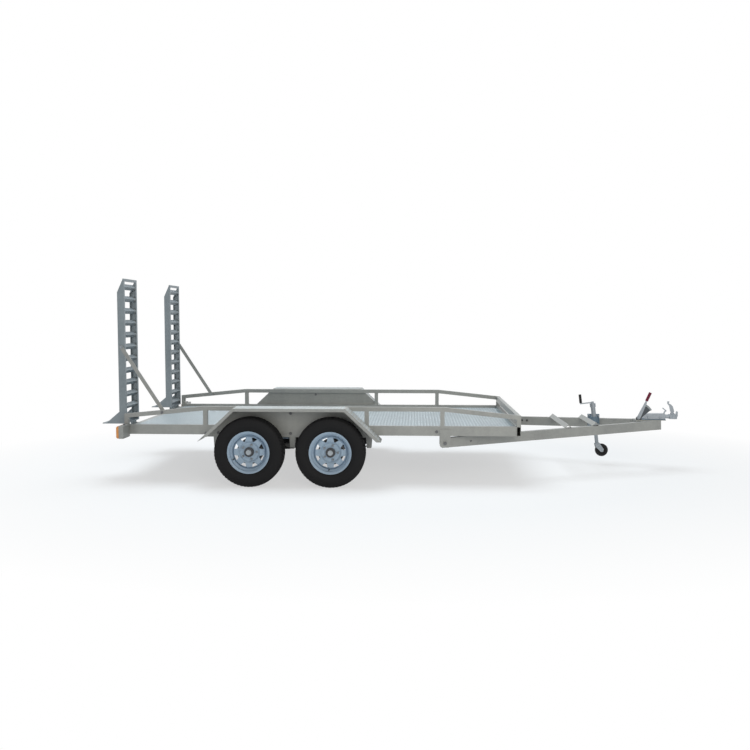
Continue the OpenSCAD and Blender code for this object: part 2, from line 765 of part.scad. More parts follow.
// A bracket with ears, bolted to the arm's inner face, that holds the mast
module jockey_clamp() {
    mid = (x_jockey - x_tilt) / cos(arm_rise);
    back = mid - clamp_back;
    front = mid + clamp_front;
    web = mast_d / 2 + 4;
    function face(x) = arm_inner(x_tilt + x);
    color([0.3, 0.36, 0.42]) difference() {
        union() {
            at_mast() translate([0, 0, -clamp_h / 2]) cylinder(r = mast_d / 2 + 8, h = clamp_h);
            at_arm() translate([0, 0, (arm_h - clamp_h) / 2]) linear_extrude(clamp_h) polygon([
                [mid - web, jockey_y], [mid + web, jockey_y],
                [mid + web, face(mid + web) - clamp_plate_t / 2],
                [mid - web, face(mid - web) - clamp_plate_t / 2]
            ]);
            at_arm() translate([0, 0, -arm_h / 2]) linear_extrude(arm_h + clamp_up) polygon([
                [back, face(back) - clamp_plate_t], [front, face(front) - clamp_plate_t],
                [front, face(front)], [back, face(back)]
            ]);
        }
        at_mast() translate([0, 0, -clamp_h]) cylinder(r = mast_d / 2 + run, h = 2 * clamp_h);
    }
}
module jockey_tube() {
    color(galv) at_mast() difference() {
        union() {
            translate([0, 0, -mast_down]) cylinder(r = mast_d / 2, h = mast_down + mast_up);
            translate([0, 0, mast_up]) cylinder(r = mast_d / 2 + 6, h = 40);
        }
        translate([0, 0, -mast_down + 20]) cylinder(r = mast_d / 2 - mast_wall, h = mast_down + mast_up - 20);
        translate([0, 0, -mast_down - over]) cylinder(r = leg_d / 2 + run, h = 30);
        translate([0, 0, mast_up - over]) cylinder(r = 8 + run, h = 60);
    }
}
module jockey_crank() {
    color(galv) at_mast() translate([0, 0, mast_up]) {
        translate([0, 0, 2]) cylinder(r = 8, h = 58);
        translate([0, 0, 40 + slip]) cylinder(r = 14, h = 18);
        translate([-crank_r - 8, -8, 44]) cube([crank_r + 8, 16, 12]);
        translate([-crank_r, 0, 50]) cylinder(r = 6, h = 90);
    }
}
module jockey_crank_grip() {
    color([0.07, 0.07, 0.07]) at_mast() translate([-crank_r, 0, mast_up + 57]) difference() {
        cylinder(r = 14, h = 92);
        translate([0, 0, -over]) cylinder(r = 6 + slip, h = 85);
    }
}
module jockey_leg() {
    color(galv) at_mast() difference() {
        translate([0, 0, leg_end]) cylinder(r = leg_d / 2, h = -leg_end + mast_up - 60);
        translate([0, 0, leg_end + 20]) cylinder(r = leg_d / 2 - 3, h = -leg_end + mast_up);
        translate([0, 0, leg_end - over]) cylinder(r = 8 + run, h = 40);
    }
}
module at_jockey_wheel() {
    at_mast() translate([jockey_trail, 0, -mast_to_axle]) children();
}
module jockey_fork() {
    top = leg_end - slip;
    color(galv) at_mast() {
        translate([0, 0, top - 8]) cylinder(r = 26, h = 8);
        translate([0, 0, top - 1]) cylinder(r = 8, h = 22);
        for (s = [-1, 1]) translate([0, s * (fork_gap + fork_t) / 2 + fork_t / 2, 0]) rotate([90, 0, 0])
            linear_extrude(fork_t) polygon([
                [-24, top - 8], [26, top - 8], [jockey_trail + 20, -mast_to_axle + 8],
                [jockey_trail + 12, -mast_to_axle - 18], [jockey_trail - 12, -mast_to_axle - 18],
                [-20, top - 40]
            ]);
        translate([-24, -fork_gap / 2 - fork_t, top - 8]) cube([50, fork_gap + 2 * fork_t, 6]);
        translate([jockey_trail, fork_gap / 2 + 8, -mast_to_axle]) rotate([90, 0, 0])
            cylinder(r = 6, h = fork_gap + 16);
    }
}
module jockey_wheel() {
    r = jockey_d / 2;
    color([0.08, 0.08, 0.08]) at_jockey_wheel() rotate([90, 0, 0]) rotate_extrude($fn = 64) polygon([
        [6 + run, -20], [18, -20], [20, -8], [r - 26, -8], [r - 24, -18], [r - 8, -18], [r, -10],
        [r, 10], [r - 8, 18], [r - 24, 18], [r - 26, 8], [20, 8], [18, 20], [6 + run, 20]
    ]);
}

// Over-run coupling: a housing bolted to the nose plate, with a sliding shaft that carries the ball head
module coupling_body() {
    x_end = x_house + housing_l;
    z_top = z_house + housing_h;
    color([0.6, 0.62, 0.62]) difference() {
        union() {
            translate([x_house - 15, -housing_w / 2 - 6, z_house]) cube([housing_l + 15, housing_w + 12, 6]);
            slab(-housing_w / 2, housing_w / 2) polygon([
                [x_house, z_house + 6], [x_house, z_top - 24], [x_house + 12, z_top - 6], [x_house + 24, z_top],
                [x_end - 8, z_top], [x_end, z_top - 8], [x_end, z_house + 6]
            ]);
            slab(housing_w / 2 - 22, housing_w / 2 - 16) translate([x_end, z_top]) polygon([
                [-20, -4], [-4, -4], [2, 18], [16, 28], [12, 37], [-24, 64], [-30, 56], [-2, 34], [-12, 20]
            ]);
        }
        translate([x_house + 60, 0, z_shaft]) rotate([0, 90, 0]) cylinder(r = shaft_d / 2 + run, h = housing_l);
    }
}
module coupling_head() {
    low = z_shaft - 24;
    dome = z_shaft - 12;
    color([0.6, 0.62, 0.62]) difference() {
        union() {
            translate([x_house + 110, 0, z_shaft]) rotate([0, 90, 0])
                cylinder(r = shaft_d / 2, h = x_ball - x_house - 110);
            translate([x_ball - 45, -30, low]) cube([45, 60, 46]);
            translate([x_ball, 0, low]) cylinder(r = 38, h = 46);
            for (s = [-1, 1]) slab(s * 11.5 - 2.5, s * 11.5 + 2.5) translate([x_latch, z_shaft]) polygon([
                [-18, 20], [-12, 42], [12, 42], [30, 20]
            ]);
            translate([x_latch, 0, z_latch]) rod(latch_pin_r, -12, 12);
            slab(-18, 18) translate([x_tip, z_shaft]) polygon([
                [-24, 0], [-24, 20], [-14, 24], [-8, 53], [0, 53], [0, 0]
            ]);
        }
        translate([x_ball, 0, dome]) sphere(r = socket_d / 2);
        translate([x_ball, 0, low - over]) cylinder(r = socket_d / 2, h = dome - low + over);
    }
}
module coupling_latch() {
    color(galv) translate([x_latch, 0, z_latch]) difference() {
        union() {
            rod(9, -8, 8);
            slab(-8, 8) polygon([
                [-9, 0], [9, 0], [19, 19], [10, 50], [3, 70], [-16, 92], [-38, 100], [-32, 122],
                [-51, 122], [-50, 96], [-42, 88], [-30, 72], [-26, 50], [-20, 20]
            ]);
        }
        rod(latch_pin_r + run, -9, 9);
    }
}
module at_lever() {
    translate([x_lever, -y_lever, z_lever]) rotate([0, lever_lean, 0]) children();
}
module brake_lever() {
    color(galv) at_lever() difference() {
        union() {
            rotate([90, 0, 0]) cylinder(r = lever_boss, h = lever_t, center = true);
            rotate([90, 0, 0]) linear_extrude(lever_t, center = true) polygon([
                [-lever_boss, 0], [lever_boss, 0], [12, lever_l - 110], [-9, lever_l - 110]
            ]);
            translate([0, 0, lever_l - 130]) cylinder(r = lever_t, h = 126);
        }
        rotate([90, 0, 0]) cylinder(r = pivot_r + run, h = 40, center = true);
    }
}
module brake_grip() {
    color([0.4, 0.08, 0.12]) at_lever() translate([0, 0, lever_l - grip_l]) difference() {
        cylinder(r = 15, h = grip_l);
        translate([0, 0, -over]) cylinder(r = lever_t + slip, h = grip_l - 3);
    }
}
// A plate standing on the nose plate: a toothed arc ahead of the lever, and the lever's pivot
module brake_quadrant() {
    inner = y_lever - 14;
    plate = 5;
    arc_r = 158;
    first = 90 - lever_lean - 36;
    last = 90 - lever_lean + 2;
    color([0.25, 0.26, 0.28]) translate([x_lever, 0, z_lever]) {
        slab(inner, inner + plate) union() {
            translate([-24, z_house - z_lever]) square([60, z_lever - z_house]);
            polygon([
                [-24, 0], [0, 24], for (a = [last : -4 : first]) (arc_r - 14) * [cos(a), sin(a)], [36, 0]
            ]);
            polygon([
                for (a = [first : 2 : last]) arc_r * [cos(a), sin(a)],
                for (a = [last : -2 : first]) (arc_r - 18) * [cos(a), sin(a)]
            ]);
        }
        rod(pivot_r, inner, y_lever + lever_t);
    }
}

side_rail();  // side_rail_right
on_side(true) side_rail();  // side_rail_left
front_cross_tube();
rear_cross_tube();
floor_cross_members();
deck_plate();
guard_rail();  // guard_rail_right
on_side(true) guard_rail();  // guard_rail_left
guard_posts();
front_rail();
mudguard();  // mudguard_right
on_side(true) mudguard();  // mudguard_left
mudguard_skirts();
spring_hangers();
leaf_springs();
equalisers();
axles();
tilt_hinge_brackets();
ramp_hinge_lugs();
light_boxes();
light_lenses();
at_wheel(true, false) tyre();  // tyre_front_right
at_wheel(true, true) tyre();  // tyre_front_left
at_wheel(false, false) tyre();  // tyre_rear_right
at_wheel(false, true) tyre();  // tyre_rear_left
at_wheel(true, false) rim();  // rim_front_right
at_wheel(true, true) rim();  // rim_front_left
at_wheel(false, false) rim();  // rim_rear_right
at_wheel(false, true) rim();  // rim_rear_left
at_wheel(true, false) hub();  // hub_front_right
at_wheel(true, true) hub();  // hub_front_left
at_wheel(false, false) hub();  // hub_rear_right
at_wheel(false, true) hub();  // hub_rear_left
drawbar_arm();  // drawbar_arm_right
on_side(true) drawbar_arm();  // drawbar_arm_left
nose_plate();
drawbar_cross_angles();
jockey_clamp();
jockey_tube();
jockey_crank();
jockey_crank_grip();
jockey_leg();
jockey_fork();
jockey_wheel();
coupling_body();
coupling_head();
coupling_latch();
brake_lever();
brake_grip();
brake_quadrant();
color(galv) ramp();  // ramp_right
color(galv) on_side(true) ramp();  // ramp_left
color(galv) ramp_stay();  // ramp_stay_right
color(galv) on_side(true) ramp_stay();  // ramp_stay_left
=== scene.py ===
# %% [markdown]
# The trailer's frame comes first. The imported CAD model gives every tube, plate and wheel in its
# right place, and this file only dresses it: finishes on the metal, tread on the floor and the
# tyres, nuts, bolts and welds.

import json
import math

import bpy
import numpy as np
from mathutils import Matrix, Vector


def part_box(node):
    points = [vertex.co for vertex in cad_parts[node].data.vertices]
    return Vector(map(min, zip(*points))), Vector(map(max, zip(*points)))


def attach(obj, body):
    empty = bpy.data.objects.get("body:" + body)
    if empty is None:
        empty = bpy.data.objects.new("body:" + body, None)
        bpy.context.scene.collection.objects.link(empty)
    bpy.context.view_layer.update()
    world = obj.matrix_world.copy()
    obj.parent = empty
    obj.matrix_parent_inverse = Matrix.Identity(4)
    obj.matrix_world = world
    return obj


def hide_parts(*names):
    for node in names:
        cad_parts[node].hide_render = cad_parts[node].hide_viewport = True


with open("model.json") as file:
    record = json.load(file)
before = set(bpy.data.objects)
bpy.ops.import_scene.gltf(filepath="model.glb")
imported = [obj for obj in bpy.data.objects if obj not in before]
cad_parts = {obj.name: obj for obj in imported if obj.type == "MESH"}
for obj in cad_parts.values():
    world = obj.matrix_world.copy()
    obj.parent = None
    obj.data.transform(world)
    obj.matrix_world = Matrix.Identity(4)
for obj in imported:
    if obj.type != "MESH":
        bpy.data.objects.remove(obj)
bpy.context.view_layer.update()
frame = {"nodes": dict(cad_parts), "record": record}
record = frame["record"]

# %% [markdown]
# Nuts, lugs and paint edges stand at places that the CAD model already has, so the places are asked
# from it: the axles, the brake lever's pivot, the ramp stays' bolts, the drawbar's tilting pin and
# the rails. The trailer drives towards +X, its left side is +Y, and its two sides are mirror
# images.

# %% Places taken from the frame
joints = {joint["name"]: joint for joint in record["behaviour"]["joints"]}
FRONT_X, _, AXLE_Z = joints["wheel_front_right_spin"]["pos_m"]
WHEEL_Y = joints["wheel_front_left_spin"]["pos_m"][1]
REAR_X = joints["wheel_rear_right_spin"]["pos_m"][0]
AXLES_X, HALF_GAP = (FRONT_X + REAR_X) / 2, (FRONT_X - REAR_X) / 2
LEVER_X, _, LEVER_Z = joints["brake_lever_pivot"]["pos_m"]
STAY_X, _, STAY_Z = joints["ramp_stay_right_pivot"]["pos_m"]
TILT_X, _, TILT_Z = joints["drawbar_tilt"]["pos_m"]
guard_low, guard_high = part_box("guard_rail_left")
X_REAR, X_FRONT = round(guard_low.x, 4), round(guard_high.x, 4)
RAIL_Y, RAIL_TOP = round(guard_high.y, 4), round(guard_high.z, 4)
DECK_Z = round(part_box("side_rail_left")[1].z, 4)
SIDES = (("right", -1), ("left", 1))
print("axles at x", round(FRONT_X, 3), "and", round(REAR_X, 3), "and", round(AXLE_Z, 3), "high")
print("rails from x", X_REAR, "to", X_FRONT, "and", DECK_Z, "high")

# %% [markdown]
# The camera stands where the photographer stood: beside the trailer's right side, a little above
# the guard rails, looking slightly down. The place was solved from the deck's edges, the axles and
# the ramps.

# %% The camera
EYE = Vector((0.1345, -8.6968, 1.5469))
YAW, PITCH = math.radians(2.7646), math.radians(3.8164)
LENS_MM, SENSOR_MM = 39.70, 36.0
camera_data = bpy.data.cameras.new("camera")
camera_data.lens, camera_data.sensor_width = LENS_MM, SENSOR_MM
camera = bpy.data.objects.new("camera", camera_data)
bpy.context.scene.collection.objects.link(camera)
level = math.cos(PITCH)
look = Vector((-math.sin(YAW) * level, math.cos(YAW) * level, -math.sin(PITCH)))
camera.location = EYE
camera.rotation_mode = "QUATERNION"
camera.rotation_quaternion = look.to_track_quat("-Z", "Y")
bpy.context.scene.camera = camera
print("camera looks along", [round(v, 3) for v in look])

# %% [markdown]
# A material is a graph of nodes. Wiring it by hand is long to read, so one small class wraps a
# socket and overloads the arithmetic: writing `cloud * 0.5` then adds the Math node. Colours go
# through Mix nodes instead, because a Math node would turn a colour grey.


# %% Sockets as values
class Value:
    """An output socket that can be added, multiplied and compared like a number."""

    def __init__(self, finish, socket):
        self.finish, self.socket = finish, socket

    def math(self, operation, *others):
        """Adds a Math node with this value first and the others after it."""
        sockets = dict(enumerate([self, *others]))
        return self.finish.add("ShaderNodeMath", {"operation": operation}, sockets)

    def __add__(self, other):
        return self.math("ADD", other)

    __radd__ = __add__

    def __sub__(self, other):
        return self.math("SUBTRACT", other)

    def __rsub__(self, other):
        return self.math("MULTIPLY_ADD", -1.0, other)

    def __mul__(self, other):
        return self.math("MULTIPLY", other)

    __rmul__ = __mul__

    def __truediv__(self, other):
        return self.math("DIVIDE", other)

    def __abs__(self):
        return self.math("ABSOLUTE")

    def __lt__(self, other):
        return self.math("LESS_THAN", other)

    def __gt__(self, other):
        return self.math("GREATER_THAN", other)

    def step(self, low, high):
        """0 below low, 1 above high, and an even ramp between them; high may be the lower one."""
        levels = {0: self, 1: low, 2: high, 3: 0.0, 4: 1.0}
        return self.finish.add("ShaderNodeMapRange", {"clamp": True}, levels)

    def length(self, other):
        """The distance from 0 of a point whose two coordinates are this value and the other."""
        return (self * self + other * other).math("SQRT")


class Finish:
    """A material, its main shader and the nodes that vary it."""

    def __init__(self, name, **shader):
        self.name = name
        self.material = bpy.data.materials.new(name)
        self.material.use_nodes = True
        self.tree = self.material.node_tree
        self.shader = self.tree.nodes["Principled BSDF"]
        for name, value in shader.items():
            self.input(name).default_value = value

    def input(self, name):
        """The main shader's socket that a keyword such as base_color means."""
        return self.shader.inputs[name.replace("_", " ").title().replace("Ior", "IOR")]

    def add(self, kind, settings, sockets, output=0):
        """Adds a node: settings first, then a value or a link for each named or numbered socket."""
        node = self.tree.nodes.new(kind)
        for key, value in settings.items():
            setattr(node, key, value)
        for key, value in sockets.items():
            if isinstance(value, Value):
                self.tree.links.new(value.socket, node.inputs[key])
            else:
                node.inputs[key].default_value = value
        return Value(self, node.outputs[output])

    def place(self, scale=(1, 1, 1)):
        """The place in the trailer's own frame, in metres, stretched by scale."""
        where = self.add("ShaderNodeTexCoord", {}, {}, "Object")
        return self.add("ShaderNodeMapping", {}, {"Vector": where, "Scale": scale})

    def axes(self):
        """The three coordinates of that place, one value each."""
        where = self.add("ShaderNodeTexCoord", {}, {}, "Object")
        node = self.add("ShaderNodeSeparateXYZ", {}, {0: where})
        return [Value(self, node.socket.node.outputs[i]) for i in range(3)]

    def noise(self, scale, detail=3.0, stretch=(1, 1, 1)):
        """Soft noise between 0 and 1: scale lumps to the metre, each with finer detail in it."""
        sockets = {"Vector": self.place(stretch), "Scale": scale, "Detail": detail}
        return self.add("ShaderNodeTexNoise", {}, {**sockets, "Roughness": 0.55})

    def cells(self, scale):
        """A grey level that is even within each crystal cell."""
        sockets = {"Vector": self.place(), "Scale": scale}
        colour = self.add("ShaderNodeTexVoronoi", {}, sockets, "Color")
        return self.add("ShaderNodeSeparateColor", {}, {0: colour})

    def mix(self, factor, a, b):
        """Colour a where factor is 0 and colour b where it is 1."""
        return self.add("ShaderNodeMix", {"data_type": "RGBA"}, {0: factor, 6: a, 7: b}, 2)

    def give(self, **sockets):
        """Links values to the main shader's sockets."""
        for name, value in sockets.items():
            self.tree.links.new(value.socket, self.input(name))

    def bump(self, height, depth, strength):
        """Lets a height between 0 and 1 tilt the surface like a relief of that depth in metres."""
        sockets = {"Height": height, "Distance": depth, "Strength": strength}
        self.give(normal=self.add("ShaderNodeBump", {}, sockets))


def shade(r, g, b):
    """An opaque colour for a colour socket."""
    return (r, g, b, 1.0)


print("values can now be added, multiplied and compared")

# %% [markdown]
# Hot-dip galvanised steel is a skin of zinc crystals. Close up it shows a patchwork of slightly
# different greys, the spangle; from further off it is a soft grey with clouds and faint runs where
# the zinc drained. Voronoi cells give the spangle, and two noises give the clouds and the runs.


# %% Galvanised steel
def galvanised(name, dark, light, roughness, metallic, spangle=55.0):
    """Zinc between two greys by a level: 0.14 crystals, 0.62 clouds and 0.40 runs, added up."""
    finish = Finish(name, metallic=metallic, roughness=roughness)
    crystal = finish.cells(spangle)
    cloud = finish.noise(2.6, 4.0)
    runs = finish.noise(9.0, 3.0, (1.0, 1.0, 0.12))
    dust = finish.noise(420.0, 2.0)
    level = crystal * 0.14 + cloud * 0.62 + runs * 0.40 - 0.08
    finish.colour = finish.mix(level.step(-0.05, 1.05), shade(*dark), shade(*light))
    finish.give(
        base_color=finish.colour,
        roughness=roughness + (crystal - 0.5) * 0.12 + (cloud - 0.5) * 0.22,
    )
    finish.bump(crystal * 0.35 + dust * 0.65, 0.0004, 0.35)
    return finish


FINISHES = [
    galvanised("galvanised", (0.20, 0.206, 0.20), (0.43, 0.43, 0.405), 0.46, 0.35),
    galvanised("aged_galvanised", (0.13, 0.155, 0.17), (0.33, 0.375, 0.40), 0.44, 0.38),
    # The tread plate's blue tint is painted reflection, the sky's blue on its upward faces.
    galvanised("checker_plate", (0.15, 0.18, 0.195), (0.33, 0.385, 0.41), 0.42, 0.35, 70.0),
    # The lugs' lighter grey is painted highlight, the sky's sheen on their raised tops.
    galvanised("tread_lugs", (0.30, 0.34, 0.35), (0.56, 0.60, 0.61), 0.36, 0.4, 70.0),
    galvanised("zinc", (0.22, 0.245, 0.27), (0.44, 0.475, 0.51), 0.34, 0.5, 140.0),
]
zinc = FINISHES[-1]
print("metal finishes:", [finish.name for finish in FINISHES])

# %% [markdown]
# The coupling is zinc plated on top, but its base flange is painted dark blue-grey. Both are one
# casting here, so the paint starts below a height, and only where the coupling stands.

# %% The coupling's painted flange
FLANGE_TOP, FLANGE_THICK = LEVER_Z - 0.0165, 0.02
FLANGE_REAR, FLANGE_HALF = LEVER_X + 0.03, 0.06
x, y, z = zinc.axes()
in_height = (z < FLANGE_TOP) * (z > FLANGE_TOP - FLANGE_THICK)
on_flange = in_height * (x > FLANGE_REAR) * (abs(y) < FLANGE_HALF)
zinc.give(base_color=zinc.mix(on_flange, zinc.colour, shade(0.10, 0.15, 0.20)))
print("flange painted below", round(FLANGE_TOP, 3))

# %% [markdown]
# Painted steel is smoother: an even colour with faint clouds, fine orange peel in the surface, and
# road dust that dulls it towards the ground.


# %% Paint
def painted(name, colour, roughness):
    """A paint with clouds of dust: none at 0.75 m above the ground, up to a quarter at 0.10 m."""
    finish = Finish(name, roughness=roughness)
    cloud = finish.noise(7.0, 4.0)
    peel = finish.noise(900.0, 1.0)
    dust = finish.axes()[2].step(0.75, 0.10) * cloud * 0.25
    finish.give(
        base_color=finish.mix(dust, shade(*colour), shade(0.30, 0.29, 0.27)),
        roughness=roughness + cloud * 0.12 + dust * 0.3,
    )
    finish.bump(peel, 0.0002, 0.25)
    return finish


FINISHES += [
    painted("rim_paint", (0.33, 0.43, 0.54), 0.36),
    painted("black_springs", (0.03, 0.03, 0.033), 0.5),
    painted("axle_steel", (0.16, 0.16, 0.17), 0.55),
    painted("blue_grey_paint", (0.13, 0.19, 0.25), 0.4),
]
print("paints:", [finish.name for finish in FINISHES[-4:]])

# %% [markdown]
# The brake lever's toothed plate is coloured near black as painted shade, for the shadow it lies in
# between the lever and the coupling. Its rim is a zinc bar in the zinc's own light grey, which
# starts at a distance from the lever's pivot.

# %% The toothed plate's painted shade and zinc rim
# The plate's near black is painted shade; beyond a distance from the pivot the rim shows its zinc
# grey.
PLATE_PAINTED_SHADE, ZINC_RIM_FROM = (0.06, 0.07, 0.08), 0.140
plate = painted("dark_plate", PLATE_PAINTED_SHADE, 0.45)
x, y, z = plate.axes()
zinc_rim = (x - LEVER_X).length(z - LEVER_Z) > ZINC_RIM_FROM
plate.give(base_color=plate.mix(zinc_rim, shade(*PLATE_PAINTED_SHADE), shade(0.34, 0.36, 0.37)))
FINISHES.append(plate)
print("plate bare beyond", ZINC_RIM_FROM, "m of the pivot")

# %% [markdown]
# The hub is black with a plain grey dust cap. Both are one turned piece, so the colour changes with
# the distance from the axle. Folding the trailer's length about the axle group puts both axles in
# one place.

# %% Hubs
HUB_DARK, CAP_R = (0.045, 0.045, 0.05), 0.0245
hub = painted("hub_black", HUB_DARK, 0.42)
x, y, z = hub.axes()
is_cap = (abs(x - AXLES_X) - HALF_GAP).length(z - AXLE_Z) < CAP_R
hub.give(base_color=hub.mix(is_cap, shade(*HUB_DARK), shade(0.42, 0.45, 0.48)))
FINISHES.append(hub)
print("dust caps of radius", CAP_R)

# %% [markdown]
# Rubber is nearly black, but never quite: the side walls pick up dust, and the grips shine where
# hands rub them.


# %% Rubber and grips
def soft(name, colour, roughness, dust_amount):
    """A dark finish with little shine, dust in clouds and a fine grain."""
    finish = Finish(name, roughness=roughness, specular_ior_level=0.2)
    cloud = finish.noise(14.0, 5.0)
    grain = finish.noise(700.0, 2.0)
    finish.give(
        base_color=finish.mix(cloud * dust_amount, shade(*colour), shade(0.20, 0.19, 0.17)),
        roughness=roughness + (cloud - 0.5) * 0.25,
    )
    finish.bump(grain, 0.0003, 0.4)
    return finish


FINISHES += [
    soft("tyre", (0.006, 0.006, 0.007), 0.72, 0.03),
    soft("black_rubber", (0.010, 0.010, 0.011), 0.6, 0.07),
    soft("black_grip", (0.010, 0.010, 0.010), 0.45, 0.04),
    soft("red_grip", (0.14, 0.008, 0.028), 0.4, 0.04),
]
print("rubbers:", [finish.name for finish in FINISHES[-4:]])

# %% [markdown]
# A lamp lens is amber plastic with fine ribs on its inside. The ribs are a wave along the lens, in
# the bump only, and a soft noise between two ambers stands for the depth of the plastic.

# %% Lamp lenses
lens = Finish("amber_lens", roughness=0.22, coat_weight=0.5)
sockets = {"Vector": lens.place(), "Scale": 40.0}
ribs = lens.add("ShaderNodeTexWave", {"bands_direction": "Y"}, sockets)
lens.give(base_color=lens.mix(lens.noise(20.0), shade(0.62, 0.20, 0.03), shade(0.86, 0.36, 0.08)))
lens.bump(ribs, 0.001, 0.6)
FINISHES.append(lens)
print("finishes in all:", len(FINISHES))

# %% [markdown]
# Every CAD piece names its finish in the frame's record. Only the ramps differ: they stand in the
# weather, and their zinc has dulled to a darker blue-grey than the frame's.

# %% Finishes on the CAD pieces
FINISH = {finish.name: finish.material for finish in FINISHES}
DULLED = {"ramp_right": "aged_galvanised", "ramp_left": "aged_galvanised"}
for part in record["subparts"]:
    node = frame["nodes"][part["node"]]
    node.data.materials.clear()
    node.data.materials.append(FINISH[DULLED.get(part["node"], part["material_slot"])])
print("finishes given to", len(record["subparts"]), "nodes")

# %% [markdown]
# New pieces are surfaces worked out with numpy: a grid of points, a function that places them, and
# faces between neighbours. One helper turns such a grid into a mesh at the origin that rides on its
# CAD body. The lugs have a lighter finish of their own, which is painted highlight: the sky's sheen
# on their raised tops. The lugs' worn tops have a finish of their own, but in the frame's record
# they count as tread plate.


def piece(name, points, faces, body, slot, smooth=True):
    """A mesh of points (n, 3) in the trailer's frame and faces as lists of point numbers."""
    mesh = bpy.data.meshes.new(name)
    rings = [[int(v) for v in face] for face in faces]
    mesh.from_pydata(np.asarray(points, float).tolist(), [], rings)
    mesh.polygons.foreach_set("use_smooth", np.full(len(mesh.polygons), smooth))
    mesh.materials.append(FINISH[slot])
    thing = bpy.data.objects.new(name, mesh)
    bpy.context.scene.collection.objects.link(thing)
    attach(thing, body)
    return thing


def grid_faces(rows, columns, close_rows=False, close_columns=False):
    """Quads between neighbours of a grid that is stored row by row."""
    i = np.arange(rows if close_rows else rows - 1)
    j = np.arange(columns if close_columns else columns - 1)
    i, j = (a.ravel() for a in np.meshgrid(i, j, indexing="ij"))
    i2, j2 = (i + 1) % rows, (j + 1) % columns
    corners = [i * columns + j, i2 * columns + j, i2 * columns + j2, i * columns + j2]
    return np.stack(corners, 1)


def tube_faces(rings, sides):
    """Walls between neighbouring rings and a flat cap on both ends, all facing outwards."""
    last = (rings - 1) * sides
    walls = grid_faces(rings, sides, False, True)[:, ::-1].tolist()
    return [*walls, list(range(sides))[::-1], list(range(last, last + sides))]


def turned(rings, sides):
    """A solid turned about Z: rings of (radius, height) from the base up."""
    a = np.arange(sides) * 2 * np.pi / sides
    x, y = np.cos(a), np.sin(a)
    points = [np.column_stack([r * x, r * y, np.full(sides, z)]) for r, z in rings]
    return np.vstack(points), tube_faces(len(rings), sides)


def copies(points, faces, places):
    """The same small shape at many places: its points plus each of the (k, 3) places."""
    places = np.asarray(places, float)
    every = (points[None] + places[:, None]).reshape(-1, 3)
    shift = np.arange(len(places))[:, None, None] * len(points)
    return every, (faces[None] + shift).reshape(-1, faces.shape[1])


def joined(parts):
    """Several (points, faces) pairs as one pair."""
    points, faces, count = [], [], 0
    for p, f in parts:
        points.append(p)
        faces += [[int(v) + count for v in face] for face in f]
        count += len(p)
    return np.vstack(points), faces


print("helpers for grids, tubes and turned solids are ready")

# %% [markdown]
# The floor is tread plate: a steel sheet with raised lens-shaped lugs, each row turned across the
# last, so that boots and tyres grip. A bump map would look flat at the edges, so every lug is a
# real little ridge of twelve triangles, 3 cm apart.


# %% The tread-plate floor
PITCH, SUNK = 0.030, 0.0002
LUG_LONG, LUG_WIDE, LUG_TALL = 0.030, 0.0085, 0.0016


def lug(turn):
    """A pointed oval let into the plate, with a crest of 0.55 of its length, turned about Z."""
    outline = np.array([[-1, 0], [-0.35, -1], [0.35, -1], [1, 0], [0.35, 1], [-0.35, 1]])
    flat = np.vstack([outline, [[-0.55, 0], [0.55, 0]]]) * [LUG_LONG / 2, LUG_WIDE / 2]
    c, s = math.cos(turn), math.sin(turn)
    flat = flat @ np.array([[c, s], [-s, c]])
    tall = np.array([-SUNK] * 6 + [LUG_TALL] * 2)
    sides = [[0, 1, 6], [1, 2, 7], [1, 7, 6], [2, 3, 7], [3, 4, 7], [4, 5, 6], [4, 6, 7], [5, 0, 6]]
    base = [[0, 5, 4], [0, 4, 3], [0, 3, 2], [0, 2, 1]]
    return np.column_stack([flat, tall]), np.array(sides + base)


FLOOR_FIRST, FLOOR_LAST = 0.02, 0.015
floor_low, floor_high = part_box("deck_plate")
x = np.arange(floor_low.x + FLOOR_FIRST, floor_high.x - FLOOR_LAST, PITCH)
y = np.arange(floor_low.y + FLOOR_FIRST, floor_high.y - FLOOR_LAST, PITCH)
odd = (np.arange(len(x))[:, None] + np.arange(len(y))[None]) % 2 == 1
x, y = np.meshgrid(x, y, indexing="ij")
lugs = []
for chosen, turn in ((odd, math.radians(45)), (~odd, math.radians(-45))):
    places = np.column_stack([x[chosen], y[chosen], np.full(chosen.sum(), floor_high.z)])
    lugs.append(copies(*lug(turn), places))
piece("floor_lugs", *joined(lugs), "chassis", "tread_lugs", smooth=False)
print("lugs on the floor:", odd.size)

# %% [markdown]
# The mudguards are bent from the same tread plate, with the lugs on their upper side. Their lugs
# stand on three flats: the top and the two slopes, each with its own origin, its direction down the
# sheet and its length.

# %% Tread on the mudguards
GUARD_Y = np.arange(1.0, 1.212, PITCH)
HALF_TOP, FLAT_FIRST, FLAT_LAST = 0.520, 0.020, 0.018


def guard_flats(low, high):
    """Start, direction and length in X and Z of a mudguard's top and of its two slopes."""
    middle = (low.x + high.x) / 2
    slope = np.array([(high.x - low.x) / 2 - HALF_TOP, low.z - high.z])
    reach = float(np.hypot(*slope))
    yield np.array([middle - HALF_TOP, high.z]), np.array([1.0, 0.0]), 2 * HALF_TOP
    for way in (-1, 1):
        yield np.array([middle + way * HALF_TOP, high.z]), slope * [way, 1] / reach, reach


